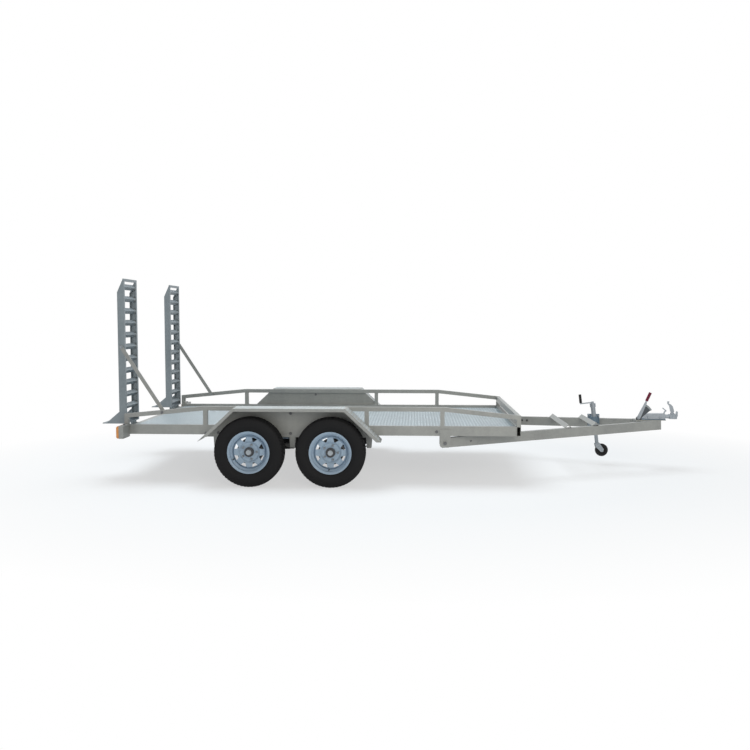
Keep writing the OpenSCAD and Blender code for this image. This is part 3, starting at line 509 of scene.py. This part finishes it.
def flat_lugs(start, along, length, side, turn):
    """The lugs of one turn on one flat: every second place of its grid."""
    u = np.array([along[0], 0, along[1]]) * np.sign(along[0])
    up = np.array([-u[2], 0, u[0]])
    points, faces = lug(math.radians(turn))
    points = points[:, :1] * u + points[:, 1:2] * [0, 1, 0] + points[:, 2:] * up
    down = np.arange(FLAT_FIRST, length - FLAT_LAST, PITCH)
    i, j = np.meshgrid(np.arange(len(down)), np.arange(len(GUARD_Y)), indexing="ij")
    chosen = (i + j) % 2 == (turn > 0)
    at = start + along * down[i[chosen]][:, None]
    return copies(points, faces, np.column_stack([at[:, 0], side * GUARD_Y[j[chosen]], at[:, 1]]))


for name, side in SIDES:
    flats = list(guard_flats(*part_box("mudguard_" + name)))
    lugs = [flat_lugs(*flat, side, turn) for flat in flats for turn in (45, -45)]
    piece("mudguard_lugs_" + name, *joined(lugs), "chassis", "tread_lugs", smooth=False)
print("lugs on each mudguard:", sum(len(faces) for _, faces in lugs) // 12)

# %% [markdown]
# A tyre is a profile carried round the axle. Its side wall bulges past the rim and carries thin
# rings; its tread is cut by grooves round it and across it. The cuts are a height taken off the
# radius, as a function of the angle and of the place across the tread, so the whole tyre is one
# closed surface.


# %% The tyre's profile
OUTSIDE = np.array([
    [0.1805, 0.062], [0.186, 0.068], [0.203, 0.0725], [0.222, 0.084], [0.240, 0.0920],
    [0.257, 0.0938], [0.276, 0.0925], [0.295, 0.0870], [0.309, 0.0800], [0.318, 0.0715],
    [0.3225, 0.062], [0.3243, 0.050], [0.3248, 0.025], [0.3250, 0.0],
])
INSIDE = np.array([[0.1805, 0.045], [0.200, 0.040], [0.240, 0.078], [0.300, 0.068], [0.309, 0.0]])
SHOULDER = 9


def tyre_profile():
    """Radius and width round the closed section, and which of its points lie outside.

    The outside is walked at even steps, finer from the shoulder to the crown, then mirrored.
    """
    along = np.r_[0, np.cumsum(np.hypot(*np.diff(OUTSIDE, axis=0).T))]
    wall = np.linspace(0, along[SHOULDER], 26)[:-1]
    steps = np.r_[wall, np.linspace(along[SHOULDER], along[-1], 20)]
    half = np.column_stack([np.interp(steps, along, OUTSIDE[:, k]) for k in (0, 1)])
    loop = np.vstack([half, half[::-1][1:] * [1, -1], INSIDE[:-1] * [1, -1], INSIDE[::-1]])
    return loop[:, 0], loop[:, 1], np.arange(len(loop)) < 2 * len(half) - 1


print("points round a tyre's section:", len(tyre_profile()[0]))

# %% [markdown]
# The tread has two wavy grooves round it on each side of the middle and 60 slanting cuts across,
# which stop short of the middle rib. The shoulder has 60 blocks of its own, and the side wall three
# thin raised rings.


# %% Tyres
BLOCKS, CUT_DEEP, RING_DEEP, BLOCK_DEEP = 60, 0.0075, 0.0012, 0.003


def tyre_surface(turns=300):
    """Angle, radius and width of every point: the profile at each turn, less the tread's cuts.

    A groove is a steep bell over its distance from a wavy line; a cut is where the turn, counted in
    blocks and slanted by the width, comes near a half; a ring is a thin bell over the radius.
    """
    radius, width, is_outside = tyre_profile()
    angle = np.linspace(0, 2 * np.pi, turns, endpoint=False)
    a, r = np.meshgrid(angle, radius, indexing="ij")
    w = np.broadcast_to(width, a.shape)
    block, off = a * BLOCKS / (2 * np.pi), np.abs(w)
    tread = np.clip((r - 0.312) / 0.008, 0, 1) * is_outside
    wave = 0.004 * np.sin(a * 36)
    grooves = [np.exp(-(((off - g + wave) / 0.0042) ** 4)) for g in (0.018, 0.050)]
    cross_cuts = (np.abs((block + off * 14) % 1.0 - 0.5) < 0.11) * (off > 0.026)
    on_shoulder = np.exp(-(((r - 0.313) / 0.007) ** 2)) * is_outside
    shoulder = on_shoulder * (np.abs(block % 1.0 - 0.5) < 0.2)
    r = r - CUT_DEEP * tread * np.maximum(np.maximum(*grooves), cross_cuts)
    rings = sum(np.exp(-(((r - g) / 0.0016) ** 2)) for g in (0.214, 0.231, 0.289)) * is_outside
    wall = RING_DEEP * (1 - rings) * (r < 0.305) * is_outside
    return a, r, w - np.sign(w) * (wall + BLOCK_DEEP * shoulder)


def round_axle(a, r, w, x, y, side):
    """Angle, radius and width round an axle along Y; side is 1 on the left and -1 on the right."""
    return np.stack([x + r * np.sin(a), y + side * w, AXLE_Z + r * np.cos(a)], -1).reshape(-1, 3)


WHEELS = {
    end + "_" + name: (AXLES_X + toward * HALF_GAP, side * WHEEL_Y, side)
    for end, toward in (("front", 1), ("rear", -1))
    for name, side in SIDES
}
tyre = tyre_surface()
tyre_faces = grid_faces(*tyre[0].shape, True, True)
for name, place in WHEELS.items():
    points, faces = round_axle(*tyre, *place), tyre_faces[:, ::-place[2]]
    made = piece("tyre_tread_" + name, points, faces, "wheel_" + name, "tyre")
    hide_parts("tyre_" + name)
print("faces on a tyre:", len(tyre_faces))

# %% [markdown]
# Nuts and bolts are small, but they say how big everything else is. Each is a hexagon of a real
# size: a ring of six corners repeated up the height, with the top chamfered. A head is made once,
# standing on a plane, and is then turned to face any way.


# %% Nuts and bolt heads
def hexagon(across, height, stud, stud_r):
    """A hexagon with a chamfered top, and a stud of twelve sides through it where stud isn't 0."""
    r = across / math.sqrt(3)
    parts = [turned([(r, 0.0), (r, height * 0.82), (r * 0.86, height)], 6)]
    if stud:
        parts.append(turned([(stud_r, 0.0), (stud_r, stud - 0.002), (stud_r * 0.7, stud)], 12))
    return joined(parts)


def washer(radius, thick):
    """A disc of 24 sides with a small chamfer."""
    return turned([(radius, 0.0), (radius, thick * 0.7), (radius - thick * 0.3, thick)], 24)


def facing(points, axis, at):
    """Turns points that stand on Z to stand on axis, and moves them to at.

    The new Z is the axis, the new X is square to it and to a helper, and the new Y to both.
    """
    axis = np.asarray(axis, float) / np.linalg.norm(axis)
    u = np.cross([0, 0, 1] if abs(axis[2]) < 0.9 else [1, 0, 0], axis)
    u /= np.linalg.norm(u)
    return points @ np.stack([u, np.cross(axis, u), axis]) + np.asarray(at, float)


def bolts(name, body, places, across=0.019, height=0.010, washer_r=0.014, stud=0.0, slot="zinc"):
    """One piece that holds every bolt head of a body: places are (point, axis) pairs."""
    disc, head = washer(washer_r, 0.002), hexagon(across, height, stud, across * 0.31)
    parts = []
    for at, axis in places:
        parts.append((facing(disc[0], axis, at), disc[1]))
        parts.append((facing(head[0], axis, np.add(at, np.multiply(axis, 0.0015))), head[1]))
    return piece(name, *joined(parts), body, slot, smooth=False)


print("a nut has", len(hexagon(0.019, 0.016, 0.022, 0.006)[1]), "faces")

# %% [markdown]
# Each wheel hangs on five nuts, on the circle of 140 mm that hubs of this size have, with the
# studs' ends standing out of them.

# %% Wheel nuts
STUD_R, STUD_OUT = 0.06985, 0.022
DISC_FACE = 0.026
for name, (x, y, side) in WHEELS.items():
    nuts = []
    for a in (k * 2 * math.pi / 5 for k in range(5)):
        at = (x + STUD_R * math.cos(a), y + side * DISC_FACE, AXLE_Z + STUD_R * math.sin(a))
        nuts.append((at, (0, side, 0)))
    bolts("wheel_nuts_" + name, "wheel_" + name, nuts, 0.019, 0.016, 0.012, STUD_OUT)
print("wheel nuts:", len(nuts) * len(WHEELS))

# %% [markdown]
# Bolts hold the mudguards' skirts to the frame, with one nut on the skirt's inner side, as well as
# the lamp boxes, two brackets on each side rail and the lower ends of the ramp stays. The drawbar
# tilts on a pin that ends in a large nut on each side.

# %% Bolts on the chassis
SKIRT = 0.003
SKIRT_BOLTS = ((-0.016, 0.667), (-0.016, 0.477), (-0.706, 0.481), (0.726, 0.480))
BRACKET_BOLTS = ((0.3405, 0.501), (-1.8425, 0.474))
STAY_LOW_X, STAY_LOW_Z = STAY_X + 0.400, 0.670
LAMP_BOLT_IN, LAMP_BOLT_OUT, LAMP_BOX_TOP = 0.028, 0.09, 0.558
PIN_OUT = 0.018
chassis_bolts = []
for _, side in SIDES:
    out, into = (0, side, 0), (0, -side, 0)
    skirt_bolts = [(AXLES_X + x, z) for x, z in SKIRT_BOLTS]
    chassis_bolts += [((x, side * (RAIL_Y + SKIRT), z), out) for x, z in skirt_bolts]
    chassis_bolts.append(((skirt_bolts[0][0], side * RAIL_Y, skirt_bolts[0][1]), into))
    on_rail = (*BRACKET_BOLTS, (STAY_LOW_X, STAY_LOW_Z))
    chassis_bolts += [((x, side * RAIL_Y, z), out) for x, z in on_rail]
    lamp_box = (X_REAR + LAMP_BOLT_IN, side * (RAIL_Y + LAMP_BOLT_OUT), LAMP_BOX_TOP)
    chassis_bolts.append((lamp_box, (0, 0, 1)))
# The chassis bolts' dark steel finish is painted shade: it darkens their heads for the shade round
# them and their washers.
bolts("chassis_bolts", "chassis", chassis_bolts, slot="axle_steel")
tilt_ends = [((TILT_X, side * (RAIL_Y + PIN_OUT), TILT_Z), (0, side, 0)) for _, side in SIDES]
bolts("tilt_pin_nuts", "chassis", tilt_ends, 0.027, 0.014, slot="axle_steel")
print("bolts on the chassis:", len(chassis_bolts), "and nuts on its pin:", len(tilt_ends))

# %% [markdown]
# A stay turns on a bolt through its ramp's outer stile. Its lower end lies a little further in than
# the guard rail, so a short sleeve fills the gap between them.

# %% Bolts and sleeves of the ramp stays
GUARD_W, STILE_Y = 0.040, 0.935
SLEEVE_R, SLEEVE_LONG = 0.012, 0.0145
sleeve, sleeve_faces = washer(SLEEVE_R, SLEEVE_LONG)
sleeves = []
for _, side in SIDES:
    at = (STAY_LOW_X, side * (RAIL_Y - GUARD_W), STAY_LOW_Z)
    sleeves.append((facing(sleeve, (0, -side, 0), at), sleeve_faces))
piece("stay_spacers", *joined(sleeves), "chassis", "zinc", smooth=False)
for name, side in SIDES:
    stay_bolt = [((STAY_X, side * STILE_Y, STAY_Z), (0, side, 0))]
    bolts("ramp_bolts_" + name, "ramp_" + name, stay_bolt, height=0.009)
print("sleeves:", len(sleeves))

# %% [markdown]
# The drawbar's two arms close towards the nose, so a bolt on an arm stands square to a slanting
# face. The angle follows from the arms' spread over their length, and with it the distance of a
# face from the middle.


# %% Faces of the drawbar's arms
NOSE_X, NOSE_HALF, ARM_W = 2.6785, 0.072, 0.050
ARM_SPREAD, ARM_LONG, ARM_RISE = 0.973, 2.259, 0.0294
TOE = math.atan2(ARM_SPREAD - NOSE_HALF, ARM_LONG)
INWARD = (-math.sin(TOE), -math.cos(TOE), 0)


def arm_inner(x):
    """Distance of an arm's inner face from the middle: the outer face's, less the arm's width."""
    return NOSE_HALF + (NOSE_X - x) * math.tan(TOE) - ARM_W / math.cos(TOE)


print("each arm turns in by", round(math.degrees(TOE), 1), "degrees")

# %% [markdown]
# Zinc plated bolts carry the brake lever's pivot, the coupling and the jockey wheel's clamp.

# %% Bolts of the coupling, brake and clamp
PLATE_OUT, COUPLING_Y, COUPLING_BOLTS = 0.072, 0.042, (0.105, 0.225)
CLAMP_X, CLAMP_Z, CLAMP_PLATE = 2.0475, 0.4888, 0.0095
bar_bolts = [((LEVER_X, -PLATE_OUT, LEVER_Z), (0, -1, 0))]
for _, side in SIDES:
    sides = [(LEVER_X + x, side * COUPLING_Y, LEVER_Z) for x in COUPLING_BOLTS]
    bar_bolts += [(at, (0, side, 0)) for at in sides]
for x in (CLAMP_X - 0.034, CLAMP_X + 0.055):
    at_y = arm_inner(x) - CLAMP_PLATE
    bar_bolts += [((x, at_y, CLAMP_Z + z), INWARD) for z in (0.030, -0.064)]
bolts("drawbar_bolts", "drawbar", bar_bolts, 0.017, 0.009, 0.0125)
print("bright bolts on the drawbar:", len(bar_bolts))

# %% [markdown]
# Duller bolts sit low on the arms' outer sides, near the tilting pin, and two black ones inside the
# far arm, just ahead of the deck, a little above the arm's middle line.

# %% Bolts on the arms
LOW_BOLT_X, LOW_BOLT_Z = 0.669, 0.400
BLACK_X, ABOVE_MIDDLE = (1.332, 1.384), 0.006
outer = arm_inner(LOW_BOLT_X) + ARM_W / math.cos(TOE)
arm_bolts = []
for _, side in SIDES:
    outward = (math.sin(TOE), side * math.cos(TOE), 0)
    arm_bolts.append(((LOW_BOLT_X, side * outer, LOW_BOLT_Z), outward))
bolts("arm_bolts", "drawbar", arm_bolts, 0.014, 0.007, 0.0095, slot="axle_steel")

black_bolts = []
for x in BLACK_X:
    middle = TILT_Z + (x - TILT_X) * ARM_RISE
    black_bolts.append(((x, arm_inner(x), middle + ABOVE_MIDDLE), INWARD))
bolts("cable_bracket_bolts", "drawbar", black_bolts, 0.018, 0.008, 0.0125, slot="black_springs")
print("dull and black bolts on the arms:", len(arm_bolts + black_bolts))

# %% [markdown]
# Each tyre is filled through a short rubber valve that stands in the rim, just outside the disc's
# crown. The wheels have rolled to where they stand, so each valve is at another angle, counted from
# the top.

# %% Valve stems
VALVE_R, VALVE_FOOT = 0.160, 0.022
VALVE_TURNS = (185, 150, 245, 210)
valve, valve_faces = turned([(0.005, 0.0), (0.005, 0.028), (0.0035, 0.030), (0.0035, 0.038)], 12)
for (name, (x, y, side)), turn in zip(WHEELS.items(), VALVE_TURNS):
    a = math.radians(turn)
    at = (x + VALVE_R * math.sin(a), y + side * VALVE_FOOT, AXLE_Z + VALVE_R * math.cos(a))
    points = facing(valve, (0, side, 0), at)
    piece("valve_stem_" + name, points, valve_faces, "wheel_" + name, "black_rubber")
print("valve stems:", len(WHEELS))

# %% [markdown]
# Four U-bolts on each axle clamp it to its springs. Each goes over the square beam and down through
# a plate under the leaves, where a nut pulls it tight. A U-bolt is a round rod carried along a
# path: at each point of the path stands a ring of eight points, square to the way the path goes
# there.


# %% Spring clamps
def rod_along(path, radius, around=8):
    """Rings of points round a path that stays in one plane of X and Z, square to the path's way."""
    way = np.gradient(path, axis=0)
    way /= np.linalg.norm(way, axis=1)[:, None]
    u = np.array([0.0, 1.0, 0.0])
    v = np.cross(way, u)
    angle = np.arange(around) * 2 * np.pi / around
    ring = np.cos(angle)[None, :, None] * u + np.sin(angle)[None, :, None] * v[:, None, :]
    return (path[:, None, :] + radius * ring).reshape(-1, 3), tube_faces(len(path), around)


def block(low, high):
    """The eight corners of a box and its six sides, facing outwards."""
    corners = np.array([[x, y, z] for x in (0, 1) for y in (0, 1) for z in (0, 1)], float)
    sides = [[0, 1, 3, 2], [4, 6, 7, 5], [0, 4, 5, 1], [2, 3, 7, 6], [0, 2, 6, 4], [1, 5, 7, 3]]
    return np.asarray(low) + corners * (np.asarray(high) - np.asarray(low)), np.array(sides)


ROD, BEND = 0.005, 0.010
BEAM_HALF, SPRING_Y, SPRING_HALF = 0.025, 0.959, 0.0275
LEG, TOP, FOOT = BEAM_HALF + 0.006, BEAM_HALF + 0.0055, 0.083
PLATE_HALF, PLATE_TOP, PLATE_FOOT = (0.042, 0.036), AXLE_Z - 0.060, AXLE_Z - 0.068

turn = np.linspace(0, np.pi / 2, 5)
bend = [LEG - BEND, TOP - BEND] + np.column_stack([np.sin(turn), np.cos(turn)]) * BEND
half = np.vstack([[0.0, TOP], bend, [LEG, 0.0], [LEG, 0.001 - FOOT], [LEG, -FOOT]])
arch = np.vstack([half[::-1] * [-1, 1], half[1:]])
clamps, nuts = [], []
for x in (FRONT_X, REAR_X):
    for _, side in SIDES:
        y = side * SPRING_Y
        dx, dy = PLATE_HALF
        clamps.append(block((x - dx, y - dy, PLATE_FOOT), (x + dx, y + dy, PLATE_TOP)))
        for at_y in (y - SPRING_HALF, y + SPRING_HALF):
            path = [x + arch[:, 0], np.full(len(arch), at_y), AXLE_Z + arch[:, 1]]
            clamps.append(rod_along(np.column_stack(path), ROD))
            nuts += [((x + leg, at_y, PLATE_FOOT), (0, 0, -1)) for leg in (-LEG, LEG)]
piece("spring_clamps", *joined(clamps), "chassis", "black_springs", smooth=False)
bolts("spring_clamp_nuts", "chassis", nuts, 0.016, 0.009, 0.0095)
print("U-bolts:", len(nuts) // 2)

# %% [markdown]
# A welded frame shows its welds: a low rippled bead in each inside corner. Each bead is a small
# tube along a line, half sunk in the corner, whose radius swells and shrinks a little, as it is
# laid drop by drop.


# %% Weld beads
DROP, RING_STEP = 0.0085, 0.004


def bead(a, b, radius=0.0035, around=6):
    """A closed tube from a to b: a radius with a wave for each drop, drawn in at both ends."""
    a, b = np.asarray(a, float), np.asarray(b, float)
    length = np.linalg.norm(b - a)
    axis = (b - a) / length
    u = np.cross(axis, [0, 0, 1] if abs(axis[2]) < 0.9 else [1, 0, 0])
    u /= np.linalg.norm(u)
    v = np.cross(axis, u)
    rings = max(4, int(length / RING_STEP))
    t = np.linspace(0, 1, rings)
    ends = np.clip(np.minimum(t, 1 - t) * length / radius, 0.05, 1) ** 0.5
    r = radius * ends * (1 + 0.16 * np.sin(t * length * 2 * np.pi / DROP))
    angle = np.arange(around) * 2 * np.pi / around
    ring = np.cos(angle)[:, None] * u + np.sin(angle)[:, None] * v
    points = a + t[:, None, None] * (b - a) + r[:, None, None] * ring
    return points.reshape(-1, 3), tube_faces(rings, around)


def welds(name, body, lines):
    """One piece that holds a body's beads: lines are (start, end) pairs."""
    return piece(name, *joined([bead(a, b) for a, b in lines]), body, "galvanised")


print("a bead of 4 cm has", len(bead((0, 0, 0), (0.04, 0, 0))[1]), "faces")

# %% [markdown]
# On the frame the beads run round the foot of each guard post and under the rail on top of it,
# along the floor's edge in short stitches, and up the front cross tube's ends.

# %% Welds on the frame
SLOPE_FRONT, SLOPE_REAR, RAIL_LOW, RAIL_DEEP = 0.71, 0.757, 0.655, 0.041
POST_W, WALL = 0.040, 0.050
POSTS = [X_REAR, X_REAR + SLOPE_REAR, X_FRONT - 1.46, X_FRONT - 0.75, X_FRONT - POST_W]
STITCHES, STITCH_PITCH, STITCH_Z = 18, 0.2, 0.5275


def guard_top(x):
    """The guard rail's top: level in the middle and sloping to both ends."""
    bends = [X_REAR, X_REAR + SLOPE_REAR, X_FRONT - SLOPE_FRONT, X_FRONT]
    return float(np.interp(x, bends, [RAIL_LOW, RAIL_TOP, RAIL_TOP, RAIL_LOW]))


seams = []
for _, side in SIDES:
    inner, near, far = (side * (RAIL_Y - d) for d in (GUARD_W, GUARD_W - 0.002, 0.003))
    for x in POSTS:
        foot = DECK_Z + 0.001
        seams.append(((x + 0.002, inner, foot), (x + POST_W - 0.002, inner, foot)))
        for edge in (x, x + POST_W):
            under = guard_top(edge) - RAIL_DEEP
            seams += [((edge, near, z), (edge, far, z)) for z in (foot, under)]
    rail = side * (RAIL_Y - WALL)
    starts = [X_REAR + 0.10 + k * STITCH_PITCH for k in range(STITCHES)]
    seams += [((x, rail, STITCH_Z), (x + 0.05, rail, STITCH_Z)) for x in starts]
    corner = (X_FRONT - 0.040, side * (RAIL_Y - 0.001))
    seams.append(((*corner, 0.470), (*corner, 0.548)))
welds("frame_welds", "chassis", seams)
print("beads on the frame:", len(seams))

# %% [markdown]
# A ramp's rungs are angles welded between its two stiles, one short bead on each side of each end.
# The coupling's plate lies on the arms, with one long bead along each.

# %% Welds on the ramps and the drawbar
RAMP_OUT, RAMP_W, STILE_FACE = 0.929, 0.375, 0.032
RUNGS, RUNG_PITCH, RUNG_FIRST = 12, 0.1145, DECK_Z + 0.050
RUNG_HALF, RUNG_NEAR, RUNG_FAR = 0.026, 0.006, 0.032
for name, side in SIDES:
    seams = []
    for y in (RAMP_OUT - STILE_FACE, RAMP_OUT - RAMP_W + STILE_FACE):
        for z in (RUNG_FIRST + k * RUNG_PITCH for k in range(RUNGS)):
            for end in (-RUNG_HALF, RUNG_HALF):
                start = (X_REAR - RUNG_NEAR, side * y, z + end * 0.06)
                seams.append((start, (X_REAR - RUNG_FAR, side * y, z + end)))
    welds("ramp_welds_" + name, "ramp_" + name, seams)
print("beads on each ramp:", len(seams))

PLATE_Y = 0.0665
REAR_END, FRONT_END = (2.42, 0.5000), (2.672, 0.5074)
seams = [[(x, side * PLATE_Y, z) for x, z in (REAR_END, FRONT_END)] for _, side in SIDES]
welds("drawbar_welds", "drawbar", seams)
print("beads on the drawbar:", len(seams))

# %% [markdown]
# The studio is plain: a pale floor that fades into a white surround. Near the trailer the floor is
# an ordinary surface that takes its shadow. Further out, and for the camera and for reflections
# only, it turns into even white light, so that no edge shows.

# %% The studio's floor
ground = Finish("studio_floor", base_color=shade(0.86, 0.86, 0.86), roughness=0.9)
x, y, _ = ground.axes()
SHADOW_TO, WHITE_FROM, LEAST_WHITE = 2.6, 5.2, 0.55
away = x.length(y * 1.2).step(SHADOW_TO, WHITE_FROM)
rays = [
    ground.add("ShaderNodeLightPath", {}, {}, name)
    for name in ("Is Camera Ray", "Is Glossy Ray", "Is Transmission Ray")
]
seen = rays[0].math("MAXIMUM", rays[1]).math("MAXIMUM", rays[2])
glow = ground.add("ShaderNodeEmission", {}, {"Color": shade(1, 1, 1), "Strength": 1.0})
surface = Value(ground, ground.shader.outputs[0])
whiteness = seen * (LEAST_WHITE + away * (1 - LEAST_WHITE))
sockets = {0: whiteness, 1: surface, 2: glow}
shown = ground.add("ShaderNodeMixShader", {}, sockets)
ground.tree.links.new(shown.socket, ground.tree.nodes["Material Output"].inputs["Surface"])

FLOOR_HALF = 60
corners = [(x * FLOOR_HALF, y * FLOOR_HALF, 0) for x, y in ((-1, -1), (1, -1), (1, 1), (-1, 1))]
mesh = bpy.data.meshes.new("studio_floor")
mesh.from_pydata(corners, [], [(0, 1, 2, 3)])
mesh.materials.append(ground.material)
studio_floor = bpy.data.objects.new("studio_floor", mesh)
bpy.context.scene.collection.objects.link(studio_floor)
print("floor:", 2 * FLOOR_HALF, "m square")

# %% [markdown]
# The surround shows white to the camera and in reflections, and lights the object with less than it
# shows, a little blue like the sky.

# %% The surround
world = bpy.data.worlds.new("surround")
bpy.context.scene.world = world
world.use_nodes = True
nodes, links = world.node_tree.nodes, world.node_tree.links
nodes.clear()
rays = nodes.new("ShaderNodeLightPath")
seen = rays.outputs["Is Camera Ray"]
for name in ("Is Glossy Ray", "Is Transmission Ray"):
    either = nodes.new("ShaderNodeMath")
    either.operation = "MAXIMUM"
    links.new(seen, either.inputs[0])
    links.new(rays.outputs[name], either.inputs[1])
    seen = either.outputs[0]
both = nodes.new("ShaderNodeMixShader")
links.new(seen, both.inputs[0])
for place, colour, strength in ((1, shade(0.84, 0.93, 1.0), 0.32), (2, shade(1, 1, 1), 1.0)):
    light = nodes.new("ShaderNodeBackground")
    light.inputs["Color"].default_value = colour
    light.inputs["Strength"].default_value = strength
    links.new(light.outputs[0], both.inputs[place])
links.new(both.outputs[0], nodes.new("ShaderNodeOutputWorld").inputs[0])
print("nodes of the surround:", len(nodes))

# %% [markdown]
# Two broad lamps give the soft light of a hazy day: one overhead for the sky, and a warmer one
# beside the camera that lights the near side.


# %% Lamps
def lamp(name, at, toward, size, power, colour):
    """A round lamp of that size in metres, turned from at towards a point."""
    light = bpy.data.lights.new(name, "AREA")
    light.shape = "DISK"
    light.size, light.energy, light.color = size, power, colour
    thing = bpy.data.objects.new(name, light)
    bpy.context.scene.collection.objects.link(thing)
    thing.location = at
    thing.rotation_mode = "QUATERNION"
    thing.rotation_quaternion = (Vector(toward) - Vector(at)).to_track_quat("-Z", "Y")


lamp("sky_lamp", (-1.5, 1.0, 8.0), (0, 0, 0.5), 6.0, 560, (0.86, 0.94, 1.0))
lamp("side_lamp", (3.0, -9.5, 4.0), (0, 0, 0.6), 5.0, 270, (1.0, 0.95, 0.85))
print("lamps:", [light.name for light in bpy.data.lights])

# %% Finish
bpy.context.scene.view_settings.view_transform = "Standard"
